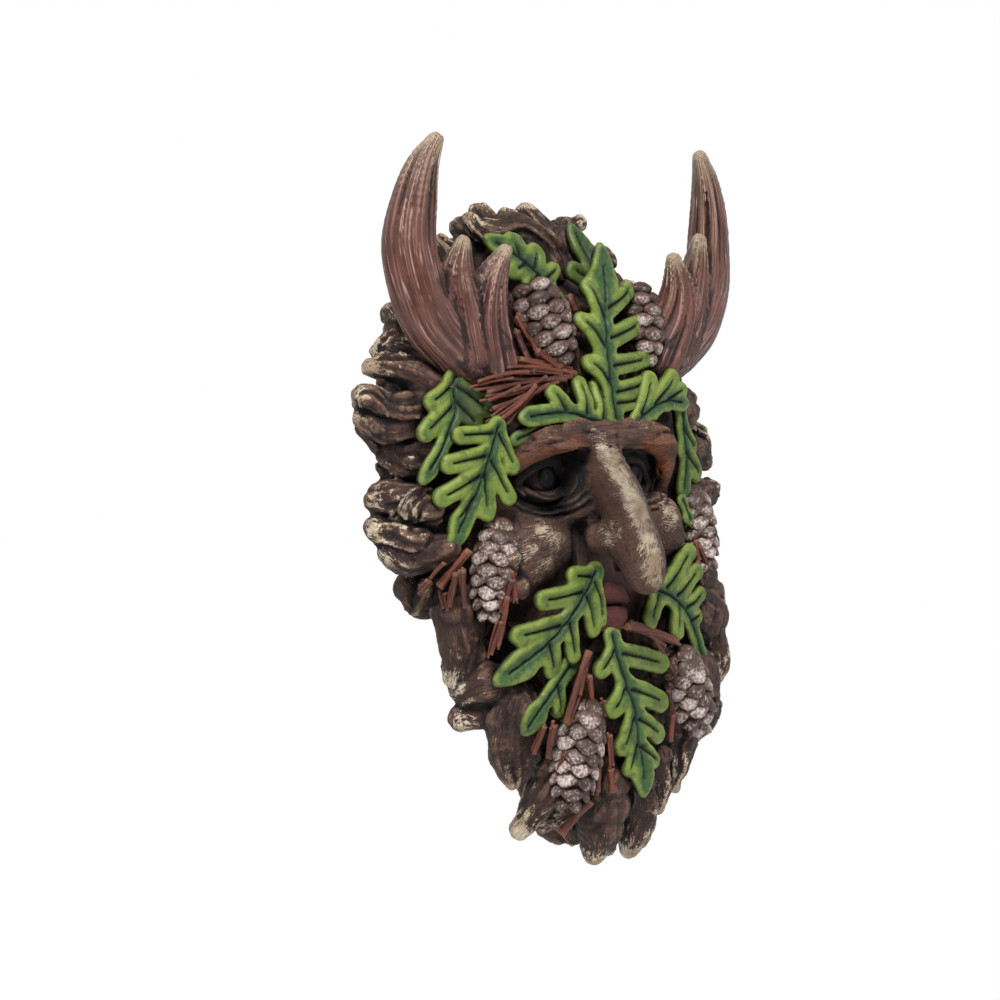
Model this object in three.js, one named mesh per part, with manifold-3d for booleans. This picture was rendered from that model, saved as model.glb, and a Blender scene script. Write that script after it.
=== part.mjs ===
// A green man wall mask. Face, antlers, bark, oak leaves, pine cones and twigs are one casting
// with a flat back. The origin is on the wall at eye level, the face looks along -Y, up is +Z.
import * as THREE from "three";
import { mergeVertices } from "three/addons/utils/BufferGeometryUtils.js";
import Module from "manifold-3d";

// Driving dimensions, in millimetres.
const HEIGHT = 274; // beard tip to antler tip
const WIDTH = 179; // over the antlers and the bark at temple height
const RELIEF = 77; // wall to nose tip
const LEAF_THICKNESS = 11; // a leaf's face down to its foot, at least
const TWIG_RADIUS = 1.9;
const EYE_RADIUS = 10;
const ANTLER_RADIUS = 12; // the main beam at its thickest
const BARK_EDGE = 10; // how thick the backing is at its rim

// The carving is drawn in millimetres on a mask of this size: every point below is across from the
// middle, out from the wall and up from the eyes, and a smooth relief passes under them all.
const DRAWING = { height: 274, width: 179, relief: 77 };
const UP = HEIGHT / DRAWING.height;
const ACROSS = WIDTH / DRAWING.width;
const OUT = RELIEF / DRAWING.relief;
const GIRTH = Math.cbrt(UP * ACROSS * OUT);
const WALL_CUT = 60; // depth of the block that trims everything behind the wall
const WELD = 1e-4; // vertices of a geometry that lie this close are one

const COLOURS = { painted_resin: 0x5b3f2c };

const at = ([across, out, up]) => new THREE.Vector3(across * ACROSS, -out * OUT, up * UP);
const mirrored = (points) => points.map(([across, out, up]) => [-across, out, up]);

// The backing: its outline inside the bark, clockwise from the crown, and how far its middle line
// stands out from the wall.
const OUTLINE = [
  [0, 95], [20, 93], [36, 82], [50, 66], [64, 44], [70, 20], [73, -8],
  [70, -34], [62, -62], [52, -86], [38, -108], [25, -126], [13, -140], [1, -142],
  [-8, -130], [-14, -116], [-21, -100], [-31, -82], [-40, -64], [-49, -47],
  [-62, -29], [-68, -6], [-68, 22], [-65, 44], [-56, 66], [-42, 82], [-22, 93],
];
const MIDDLE = [
  [97, 22], [84, 38], [70, 44], [50, 47], [30, 48], [10, 44], [-10, 41],
  [-40, 42], [-70, 42], [-95, 40], [-120, 36], [-138, 28], [-148, 18],
];
const FACE_CENTRE = -15; // height of the point that the backing's rings close on
const DOME = { around: 26, rings: 7, edge: 0.96, foot: 0.8, shoulder: 3.2, roll: 0.6 };
// A hollow for each eye and a swelling for each cheek: where, how deep, and how far they reach.
const SOCKET = { across: 23, up: -3, deep: 10, wide: 14, tall: 11 };
const CHEEK = { across: 28, up: -25, deep: 5, wide: 15, tall: 14 };

// Limbs are round carved strokes: points along the middle, and a radius at each.
const NOSE = {
  points: [[0, 48, 14], [-1, 55, 2], [-2, 59, -13], [-3, 64, -27], [-3, 68, -38], [-2, 68, -44]],
  radii: [7, 7.5, 8, 9, 9.5, 6.5],
};
const NOSE_BODY = {
  points: [[-1, 42, 8], [-3, 47, -12], [-4, 51, -28], [-3, 55, -37]],
  radii: [7, 9.5, 10.5, 7],
};
const NOSE_WING = { points: [[-4, 50, -22], [-11, 49, -28]], radii: [7, 7.5] };
const BROW = {
  points: [[-5, 52, 13], [-17, 50, 19], [-29, 46, 16], [-40, 39, 5]],
  radii: [6, 6.5, 6, 3.5],
};
const UPPER_LID = {
  points: [[-12, 38, -3], [-19, 42, 3.5], [-28, 41, 3], [-35, 35, -5]],
  radii: [2, 2.8, 2.8, 2],
};
const EYE_BAG = {
  points: [[-9, 42, -9], [-17, 42, -15], [-28, 42, -15.5], [-38, 37, -8]],
  radii: [2.5, 3.6, 3.6, 2],
};
const UPPER_LIP = { points: [[-13, 42, -51], [0, 47, -48], [13, 42, -51]], radii: [2, 4, 2] };
const LOWER_LIP = { points: [[-10, 43, -55], [0, 47, -57], [10, 43, -55]], radii: [2, 4.4, 2] };
const EYES = [[-23, 33, -3], [23, 33, -3]];

// One antler: the beam up the outer edge, and two shorter tines in front of it. Radii are shares of
// the antler's.
const BEAM = {
  points: [
    [-47, 34, 38], [-59, 37, 46], [-70, 38, 56], [-76, 38, 70],
    [-78, 38, 85], [-76, 42, 100], [-73, 45, 112], [-68, 48, 122],
  ],
  radii: [0.72, 0.8, 0.92, 0.98, 0.92, 0.74, 0.5, 0.2],
};
const MIDDLE_TINE = {
  points: [[-54, 38, 46], [-59, 42, 60], [-62, 46, 75], [-61, 51, 89]],
  radii: [0.9, 0.8, 0.56, 0.2],
};
const INNER_TINE = {
  points: [[-44, 38, 41], [-49, 43, 55], [-49, 48, 68], [-43, 52, 81]],
  radii: [0.9, 0.84, 0.62, 0.2],
};
const GROOVE = { cut: 0.93, ridge: 1.05 }; // grain along an antler, as shares of its radius

// Bark shelves that ring the backing, anticlockwise from the viewer's right of the eyes: where each
// tip is, and half the width of its blunt end. A shelf swells over its tip and tucks in under it.
const SHELVES = [
  [76, 24, 10, 7], [76, 18, 30, 8], [70, 16, 50, 8], [54, 15, 73, 8], [41, 15, 88, 6],
  [30, 16, 100, 6], [19, 18, 98, 5], [8, 16, 106, 6], [-4, 18, 102, 5], [-17, 16, 103, 6],
  [-30, 16, 99, 6], [-42, 16, 91, 6], [-56, 18, 78, 8], [-66, 15, 65, 6], [-71, 18, 55, 5],
  [-79, 12, 42, 4], [-87, 20, 29, 9], [-81, 22, 14, 4], [-83, 14, -6, 4], [-86, 18, -20, 7],
  [-78, 18, -33, 5], [-68, 15, -46, 6], [-56, 16, -64, 7], [-49, 14, -84, 6], [-40, 17, -97, 5],
  [-29, 16, -113, 7], [-27, 20, -133, 4], [-13, 22, -139, 4], [-2, 25, -150, 5], [13, 27, -151, 6],
  [29, 28, -134, 7], [44, 28, -115, 7], [58, 28, -97, 8], [71, 28, -76, 8], [79, 28, -52, 6],
  [80, 20, -32, 7], [82, 24, -9, 7],
];
// Shares of the backing's reach, and how far a shelf swells and tucks in.
const SHELF = { root: 0.78, over: 9, under: 11, blunt: 0.97, back: 0.87, notch: 0.25, share: 0.7 };
const CROWN_LOG = { points: [[-38, 28, 94], [-24, 30, 92], [-8, 30, 96], [2, 34, 87]], radii: [4, 5, 5, 4] };

// Oak leaves: midrib from stalk to tip, greatest half width, and lobes on each side.
const LEAVES = [
  { rib: [[4, 53, 14], [3, 54, 32], [4, 53, 48], [6, 51, 66], [6, 50, 86]], half: 21, lobes: 4 },
  { rib: [[2, 53, 17], [-12, 53, 24], [-27, 51, 24], [-41, 47, 16]], half: 13, lobes: 3 },
  { rib: [[14, 54, 17], [24, 52, 22], [36, 50, 29], [50, 45, 29]], half: 13, lobes: 3 },
  { rib: [[-2, 42, 68], [-12, 38, 79], [-28, 31, 91]], half: 14, lobes: 3 },
  { rib: [[4, 46, 68], [8, 42, 82], [10, 36, 95]], half: 9, lobes: 3 },
  { rib: [[-55, 37, -2], [-60, 36, 14], [-60, 37, 35]], half: 17, lobes: 3 },
  { rib: [[-47, 45, 18], [-54, 42, 2], [-59, 38, -12], [-64, 32, -28]], half: 20, lobes: 4 },
  { rib: [[47, 45, 18], [52, 43, 4], [57, 40, -10], [62, 34, -26]], half: 17, lobes: 4 },
  {
    rib: [[-7, 49, -37], [-12, 50, -47], [-25, 47, -58], [-37, 42, -69], [-49, 34, -81]],
    half: 18,
    lobes: 4,
  },
  { rib: [[27, 46, -38], [38, 46, -52], [47, 44, -66], [58, 38, -81]], half: 17, lobes: 4 },
  { rib: [[-20, 42, -76], [-28, 38, -87], [-38, 30, -100]], half: 12, lobes: 3 },
  {
    rib: [[-4, 49, -66], [1, 50, -80], [5, 50, -94], [7, 49, -108], [11, 45, -127]],
    half: 19,
    lobes: 4,
  },
];
const LEAF = { steps: 3, forward: 0.42, droop: 0.22, dome: 1.2, taper: 0.7, sunk: 4 };
// How wide a leaf is along its midrib: at the stalk, how fast it spreads, how deep the lobes part.
const LEAF_EDGE = { stalk: 0.3, spread: 1.1, notch: 0.5, tip: 0.06 };

// Pine cones: top, bottom and radius.
const CONES = [
  [[-23, 42, 70], [-15, 47, 38], 12],
  [[32, 42, 70], [30, 46, 38], 11],
  [[-46, 40, -18], [-52, 36, -54], 10],
  [[59, 36, -8], [63, 36, -45], 10],
  [[-12, 43, -88], [-21, 37, -127], 11],
  [[40, 41, -72], [50, 39, -105], 11],
];
const CONE = { around: 7, along: 8, scale: 0.11, stations: [0, 0.3, 0.7, 1], radii: [0.55, 1, 0.85, 0.35] };

// Twigs: the two ends of each, across and up. They lie on the relief.
const TWIGS = [
  [[-14, 33], [-56, 38]], [[-34, 60], [-25, 37]], [[-62, -28], [-69, -43]], [[-42, -38], [-52, -64]],
  [[-13, -70], [-27, -97]], [[-7, -98], [-8, -124]], [[10, -61], [38, -69]], [[29, -86], [32, -108]],
];
const TWIG_LIFT = 1.2; // its middle line over the relief
const ROUNDING = 0.6; // how far the end of a round stroke bulges, as a share of its radius
const SAMPLES = 20; // places read off the backing's outline for each of its points
const SLOPE_STEP = 2; // distance over which the relief's slope is taken

// A smooth closed curve round the backing, as the distance from the face centre at each bearing.
function backingReach() {
  const corners = OUTLINE.map(([across, up]) => new THREE.Vector3(across, up - FACE_CENTRE, 0));
  const loop = new THREE.CatmullRomCurve3(corners, true);
  const samples = loop
    .getPoints(OUTLINE.length * SAMPLES)
    .map((point) => [Math.atan2(point.y, point.x), Math.hypot(point.x, point.y)]);
  samples.sort((a, b) => a[0] - b[0]);
  return (bearing) => {
    const angle = Math.atan2(Math.sin(bearing), Math.cos(bearing));
    const next = samples.findIndex(([bearingHere]) => bearingHere >= angle);
    const high = samples[next < 0 ? 0 : next];
    const low = samples[next <= 0 ? samples.length - 1 : next - 1];
    const gap = high[0] - low[0];
    const share = gap > 0 ? (angle - low[0]) / gap : 0;
    return low[1] + (high[1] - low[1]) * share;
  };
}

const reach = backingReach();

// How far the middle line stands out at one height.
function middleLine(up) {
  const below = MIDDLE.findIndex(([height]) => height <= up);
  if (below === 0) return MIDDLE[0][1];
  if (below < 0) return MIDDLE[MIDDLE.length - 1][1];
  const [high, outHigh] = MIDDLE[below - 1];
  const [low, outLow] = MIDDLE[below];
  return outLow + ((outHigh - outLow) * (up - low)) / (high - low);
}

// The height of a smooth bump or hollow that lies on both sides of the middle.
function swell(across, up, spot) {
  const sideways = (Math.abs(across) - spot.across) / spot.wide;
  const upwards = (up - spot.up) / spot.tall;
  return spot.deep * Math.exp(-(sideways ** 2) - upwards ** 2);
}

// How far the backing and the face stand out from the wall at one place.
function relief(across, up) {
  const bearing = Math.atan2(up - FACE_CENTRE, across);
  const share = Math.min(Math.hypot(across, up - FACE_CENTRE) / reach(bearing), 1);
  const roll = (1 - share ** DOME.shoulder) ** DOME.roll;
  const rise = middleLine(up) - BARK_EDGE;
  return BARK_EDGE + rise * roll - swell(across, up, SOCKET) + swell(across, up, CHEEK);
}

// The direction that the relief faces at one place.
function facing(across, up) {
  const riseAcross = relief(across + SLOPE_STEP, up) - relief(across - SLOPE_STEP, up);
  const riseUp = relief(across, up + SLOPE_STEP) - relief(across, up - SLOPE_STEP);
  return new THREE.Vector3(-riseAcross, -2 * SLOPE_STEP, -riseUp).normalize();
}

// Moves each vertex of a closed geometry by a function of where it was.
function shaped(geometry, place) {
  const position = geometry.attributes.position;
  const uv = geometry.attributes.uv;
  const vertex = new THREE.Vector3();
  for (let i = 0; i < position.count; i++) {
    vertex.fromBufferAttribute(position, i);
    const moved = place(vertex, uv.getX(i), uv.getY(i));
    position.setXYZ(i, moved.x, moved.y, moved.z);
  }
  return geometry;
}

// The place at one bearing from the face centre, at a share of the backing's reach.
function onBacking(bearing, share) {
  const distance = reach(bearing) * share;
  return [Math.cos(bearing) * distance, Math.sin(bearing) * distance + FACE_CENTRE];
}

// The face and crown under everything else: rings that close on the face centre.
function dome() {
  const rows = DOME.rings + 2;
  const sphere = new THREE.SphereGeometry(1, DOME.around, rows);
  return shaped(sphere, (vertex, u, v) => {
    const row = Math.round((1 - v) * rows);
    const front = row <= DOME.rings;
    const ring = DOME.edge * Math.sin((row / DOME.rings) * (Math.PI / 2));
    const share = front ? ring : row < rows ? DOME.foot : 0;
    const [across, up] = onBacking(u * 2 * Math.PI, share);
    return at([across, front ? relief(across, up) : BARK_EDGE / 2, up]);
  });
}

// The bark round it: a ring of shelves with a notch between each two, on a flat back.
function bark() {
  const polar = ([across, out, up, half]) => {
    const distance = Math.hypot(across, up - FACE_CENTRE);
    return { bearing: Math.atan2(up - FACE_CENTRE, across), distance, turn: half / distance, out };
  };
  const tips = SHELVES.map(polar).sort((a, b) => a.bearing - b.bearing);
  const notches = tips.map((tip, i) => {
    const next = tips[(i + 1) % tips.length];
    const gap = (next.bearing - tip.bearing + 2 * Math.PI) % (2 * Math.PI);
    const bearing = tip.bearing + (gap * tip.turn) / (tip.turn + next.turn);
    const shallow = Math.min(tip.distance, next.distance) / reach(bearing) - 1;
    return { bearing, far: 1 + SHELF.notch * shallow, out: (tip.out + next.out) / 2 };
  });
  const columns = tips.flatMap(({ bearing, distance, turn, out }, i) => {
    const before = notches[(i + tips.length - 1) % tips.length].bearing;
    const room = (bearing - before + 2 * Math.PI) % (2 * Math.PI);
    const left = bearing - Math.min(turn, room * SHELF.share);
    const right = bearing + Math.min(turn, (notches[i].bearing - bearing) * SHELF.share);
    return [
      { bearing: left, far: (distance * SHELF.blunt) / reach(left), out },
      { bearing: right, far: distance / reach(right), out },
      notches[i],
    ];
  });
  const section = ({ far, out }) => [
    [0, BARK_EDGE],
    [SHELF.root, out],
    [(1 + far) / 2, out + SHELF.over],
    [far, out],
    [(1 + far) / 2, Math.max(out - SHELF.under, BARK_EDGE / 2)],
    [SHELF.back, 0],
    [0, 0],
  ];
  const rows = section(columns[0]).length - 1;
  const sphere = new THREE.SphereGeometry(1, columns.length, rows);
  return shaped(sphere, (vertex, u, v) => {
    const column = columns[(Math.round(u * columns.length) + columns.length) % columns.length];
    const [share, out] = section(column)[Math.round((1 - v) * rows)];
    const [across, up] = onBacking(column.bearing, share);
    return at([across, out, up]);
  });
}

// A round stroke along a curve, closed at both ends. The radius of any place can be cut by a texture.
function limb({ points, radii }, { around, along, girth = 1, texture = () => 1 }) {
  const curve = new THREE.CatmullRomCurve3(points.map(at), false, "centripetal");
  const widths = radii.map((radius, i) => new THREE.Vector2(i, radius * girth * GIRTH));
  const thickness = new THREE.SplineCurve(widths);
  const chord = at(points[points.length - 1]).sub(at(points[0])).normalize();
  const inward = new THREE.Vector3(0, 1, 0);
  const steep = Math.abs(chord.dot(inward)) > Math.SQRT1_2;
  const reference = steep ? new THREE.Vector3(0, 0, 1) : inward;
  const sphere = new THREE.SphereGeometry(1, around, along);
  return shaped(sphere, (vertex, u, v) => {
    const row = Math.round((1 - v) * along);
    const column = Math.round(u * around) % around;
    const end = row === 0 || row === along;
    const share = Math.min(Math.max((row - 1) / (along - 2), 0), 1);
    const centre = curve.getPoint(share);
    const tangent = curve.getTangent(share);
    const radius = thickness.getPoint(share).y;
    if (end) return centre.addScaledVector(tangent, (row === 0 ? -ROUNDING : ROUNDING) * radius);
    const side = new THREE.Vector3().crossVectors(tangent, reference).normalize();
    const top = new THREE.Vector3().crossVectors(side, tangent);
    const angle = (column / around) * 2 * Math.PI;
    const cut = radius * texture(row, column);
    return centre
      .addScaledVector(side, Math.cos(angle) * cut)
      .addScaledVector(top, Math.sin(angle) * cut);
  });
}

// Half width of an oak leaf along its midrib, as a share of the greatest: narrow stalk, round lobes.
function leafWidth(along, lobes) {
  const body = Math.min(LEAF_EDGE.stalk + LEAF_EDGE.spread * along, 1) * Math.sqrt(1 - along ** 4);
  const wave = (1 + Math.cos(2 * Math.PI * along * lobes)) / 2;
  return Math.max(body * (1 - LEAF_EDGE.notch * wave), LEAF_EDGE.tip);
}

// A closed leaf lying over the relief, its lobes swept towards the tip and its sides drooping. Its
// foot is sunk in the backing, as a mould leaves no room under it.
function leaf({ rib, half, lobes }) {
  const curve = new THREE.CatmullRomCurve3(rib.map(at), false, "centripetal");
  const stations = lobes * LEAF.steps;
  const box = new THREE.BoxGeometry(1, 1, 1, 2, stations, 1);
  return shaped(box, (vertex) => {
    const along = Math.round((vertex.y + 0.5) * stations) / stations;
    const sideways = vertex.x * 2;
    const top = vertex.z > 0;
    const centre = curve.getPoint(along);
    const tangent = curve.getTangent(along);
    const normal = facing(centre.x / ACROSS, centre.z / UP);
    normal.addScaledVector(tangent, -normal.dot(tangent)).normalize();
    const side = new THREE.Vector3().crossVectors(tangent, normal).normalize();
    const width = half * GIRTH * leafWidth(along, lobes);
    const spread = sideways * width;
    const rise = sideways === 0 ? -LEAF.dome : 0;
    const place = centre
      .addScaledVector(side, spread * (top ? 1 : LEAF.taper))
      .addScaledVector(tangent, Math.abs(spread) * LEAF.forward)
      .addScaledVector(normal, (top ? rise : -LEAF_THICKNESS) - Math.abs(spread) * LEAF.droop);
    const foot = (LEAF.sunk - relief(place.x / ACROSS, place.z / UP)) * OUT;
    return top ? place : place.setY(Math.max(place.y, foot));
  });
}

// A pine cone: blunt at the stalk, fuller below it and narrowing to the tip, with scales in rows.
function cone([stalk, tip, radius]) {
  const between = (share) => stalk.map((value, i) => value + (tip[i] - value) * share);
  const scales = (row, column) => 1 + ((row + column) % 2 ? CONE.scale : -CONE.scale);
  const stroke = { points: CONE.stations.map(between), radii: CONE.radii };
  return limb(stroke, { around: CONE.around, along: CONE.along, girth: radius, texture: scales });
}

// A solid eyeball, its poles to the front and back.
function ball([across, out, up]) {
  const sphere = new THREE.SphereGeometry(EYE_RADIUS * GIRTH, 8, 6).rotateX(Math.PI / 2);
  return sphere.translate(...at([across, out, up]).toArray());
}

// A stroke on the viewer's left and the same one mirrored on the right.
const both = (stroke, options) => [
  limb(stroke, options),
  limb({ points: mirrored(stroke.points), radii: stroke.radii }, options),
];

function face() {
  return [
    ...EYES.map(ball),
    limb(NOSE, { around: 8, along: 8 }),
    limb(NOSE_BODY, { around: 6, along: 6 }),
    ...both(NOSE_WING, { around: 6, along: 4 }),
    ...both(BROW, { around: 6, along: 7 }),
    ...both(UPPER_LID, { around: 5, along: 6 }),
    ...both(EYE_BAG, { around: 5, along: 6 }),
    limb(UPPER_LIP, { around: 5, along: 6 }),
    limb(LOWER_LIP, { around: 5, along: 6 }),
  ];
}

function antlers() {
  const grooves = (row, column) => (column % 2 ? GROOVE.cut : GROOVE.ridge);
  return [
    ...both(BEAM, { around: 9, along: 11, girth: ANTLER_RADIUS, texture: grooves }),
    ...both(MIDDLE_TINE, { around: 8, along: 7, girth: ANTLER_RADIUS, texture: grooves }),
    ...both(INNER_TINE, { around: 8, along: 7, girth: ANTLER_RADIUS, texture: grooves }),
  ];
}

function twigs() {
  return TWIGS.map(([start, end]) => {
    const middle = [(start[0] + end[0]) / 2, (start[1] + end[1]) / 2];
    const points = [start, middle, end].map(([across, up]) => [across, relief(across, up) + TWIG_LIFT, up]);
    return limb({ points, radii: [1, 1, 1] }, { around: 4, along: 4, girth: TWIG_RADIUS });
  });
}

function wallBlock() {
  const size = [2 * WIDTH, WALL_CUT, 2 * HEIGHT];
  return new THREE.BoxGeometry(...size).translate(0, WALL_CUT / 2, 0);
}

const wasm = await Module();
wasm.setup();

// Turns a closed geometry into a solid that can be joined and cut.
function solid(geometry) {
  geometry.deleteAttribute("normal");
  geometry.deleteAttribute("uv");
  const merged = mergeVertices(geometry, WELD);
  const vertProperties = new Float32Array(merged.attributes.position.array);
  const triVerts = new Uint32Array(merged.index.array);
  return new wasm.Manifold(new wasm.Mesh({ numProp: 3, vertProperties, triVerts }));
}

const pieces = [
  dome(),
  bark(),
  limb(CROWN_LOG, { around: 6, along: 7 }),
  ...face(),
  ...antlers(),
  ...LEAVES.map(leaf),
  ...CONES.map(cone),
  ...twigs(),
];
const casting = pieces
  .map(solid)
  .reduce((whole, piece) => whole.add(piece))
  .subtract(solid(wallBlock()));

// The triangles of the largest connected shell: resin fills the pinholes that are left where
// several carved pieces meet inside the casting.
function outerShell(triVerts, vertexCount) {
  const root = Uint32Array.from({ length: vertexCount }, (_, i) => i);
  const find = (i) => {
    while (root[i] !== i) {
      root[i] = root[root[i]];
      i = root[i];
    }
    return i;
  };
  const size = new Map();
  for (let i = 0; i < triVerts.length; i += 3) {
    root[find(triVerts[i + 1])] = find(triVerts[i]);
    root[find(triVerts[i + 2])] = find(triVerts[i]);
  }
  for (const vertex of triVerts) size.set(find(vertex), (size.get(find(vertex)) ?? 0) + 1);
  const largest = [...size].sort((a, b) => b[1] - a[1])[0][0];
  return triVerts.filter((_, i) => find(triVerts[i - (i % 3)]) === largest);
}

// Turns a solid back into a geometry.
function geometryOf(manifold) {
  const mesh = manifold.getMesh();
  const geometry = new THREE.BufferGeometry();
  geometry.setAttribute("position", new THREE.BufferAttribute(mesh.vertProperties, 3));
  const shell = outerShell(mesh.triVerts, mesh.vertProperties.length / 3);
  geometry.setIndex(new THREE.BufferAttribute(shell, 1));
  geometry.computeVertexNormals();
  return geometry;
}

const resin = new THREE.MeshStandardMaterial({ color: COLOURS.painted_resin, roughness: 0.5, metalness: 0 });
const mask = new THREE.Mesh(geometryOf(casting), resin);
mask.name = "green_man_mask";

const part = new THREE.Group();
part.add(mask);

export default part;
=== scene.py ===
import math
import bpy
import numpy as np
from mathutils import Matrix, Vector


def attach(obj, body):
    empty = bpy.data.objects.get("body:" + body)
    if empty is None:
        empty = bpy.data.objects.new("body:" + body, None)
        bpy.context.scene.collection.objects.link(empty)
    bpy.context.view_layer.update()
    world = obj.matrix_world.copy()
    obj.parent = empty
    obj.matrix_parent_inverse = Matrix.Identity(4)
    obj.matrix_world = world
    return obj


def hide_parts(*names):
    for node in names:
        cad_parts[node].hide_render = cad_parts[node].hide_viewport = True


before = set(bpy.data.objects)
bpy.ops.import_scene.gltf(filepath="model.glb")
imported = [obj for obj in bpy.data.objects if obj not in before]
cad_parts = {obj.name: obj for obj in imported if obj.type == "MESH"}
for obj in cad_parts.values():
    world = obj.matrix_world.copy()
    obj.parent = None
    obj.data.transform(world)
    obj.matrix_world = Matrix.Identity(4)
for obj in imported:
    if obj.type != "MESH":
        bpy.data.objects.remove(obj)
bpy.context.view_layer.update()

# Every carved point is drawn in millimetres: across from the middle, out from the wall, up from
# the eyes. A fourth number is a radius.
STEP = 0.75  # spacing of the grid that the bark and face are carved on
ANTLER_STEP = 0.8  # the same for the antlers
LEAF_STEP = 0.55  # and for the leaves
STROKE_CUTS = 5  # straight lengths between two points of a stroke
FAR = 9.0  # a distance that is nowhere near a surface
MASK_BOX = ((-96, -2 * STEP, -157), (96, 82, 116))
ANTLER_BOX = ((-93, 18, 22), (-28, 62, 128))
OUTWARD = np.array([0, 1, 0.01])  # a touch off straight out, so that no stroke runs along it
FACE_CENTRE = -15  # height of the middle of the bark
BARK_EDGE = 10  # how far out the dome starts at its edge
LOW_BARK = -62  # the bark below this height is a piece of its own
SKIN_MIDDLE, SKIN_WIDTH, SKIN_HEIGHT = -16, 50, 47  # the oval of skin
LEAF_THICKNESS = 4.2
EVERYWHERE = -999  # further left than any leaf
EYE_RADIUS = 8.2
LIGHT = 1.45  # how bright the studio is on a surface that faces it
CAMERA_PLACE = (-0.7113, -0.7811, -0.0472)  # this and the floor are in metres
CAMERA_RIGHT = (0.7431, -0.6641, -0.0815)
CAMERA_UP = (0.0362, -0.0818, 0.9960)
CAMERA_BACK = (-0.6682, -0.7431, -0.0368)
CAMERA_LENS = 97.236
FLOOR_REACH, FLOOR_HEIGHT = 1.4, -0.52

# The edge of the mask, across and up, and how far out its middle stands at each height.
OUTLINE = [
    (0, 95), (20, 93), (36, 82), (50, 66), (64, 44), (70, 20), (73, -8), (70, -34), (62, -62),
    (52, -86), (38, -108), (25, -126), (13, -140), (1, -142), (-8, -130), (-14, -116), (-21, -100),
    (-31, -82), (-40, -64), (-49, -47), (-62, -29), (-68, -6), (-68, 22), (-65, 44), (-56, 66),
    (-42, 82), (-22, 93),
]
MIDDLE = [
    (97, 22), (84, 38), (70, 44), (50, 47), (30, 48), (10, 44), (-10, 41), (-40, 42), (-70, 42),
    (-95, 40), (-120, 36), (-138, 28), (-148, 18),
]

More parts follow.
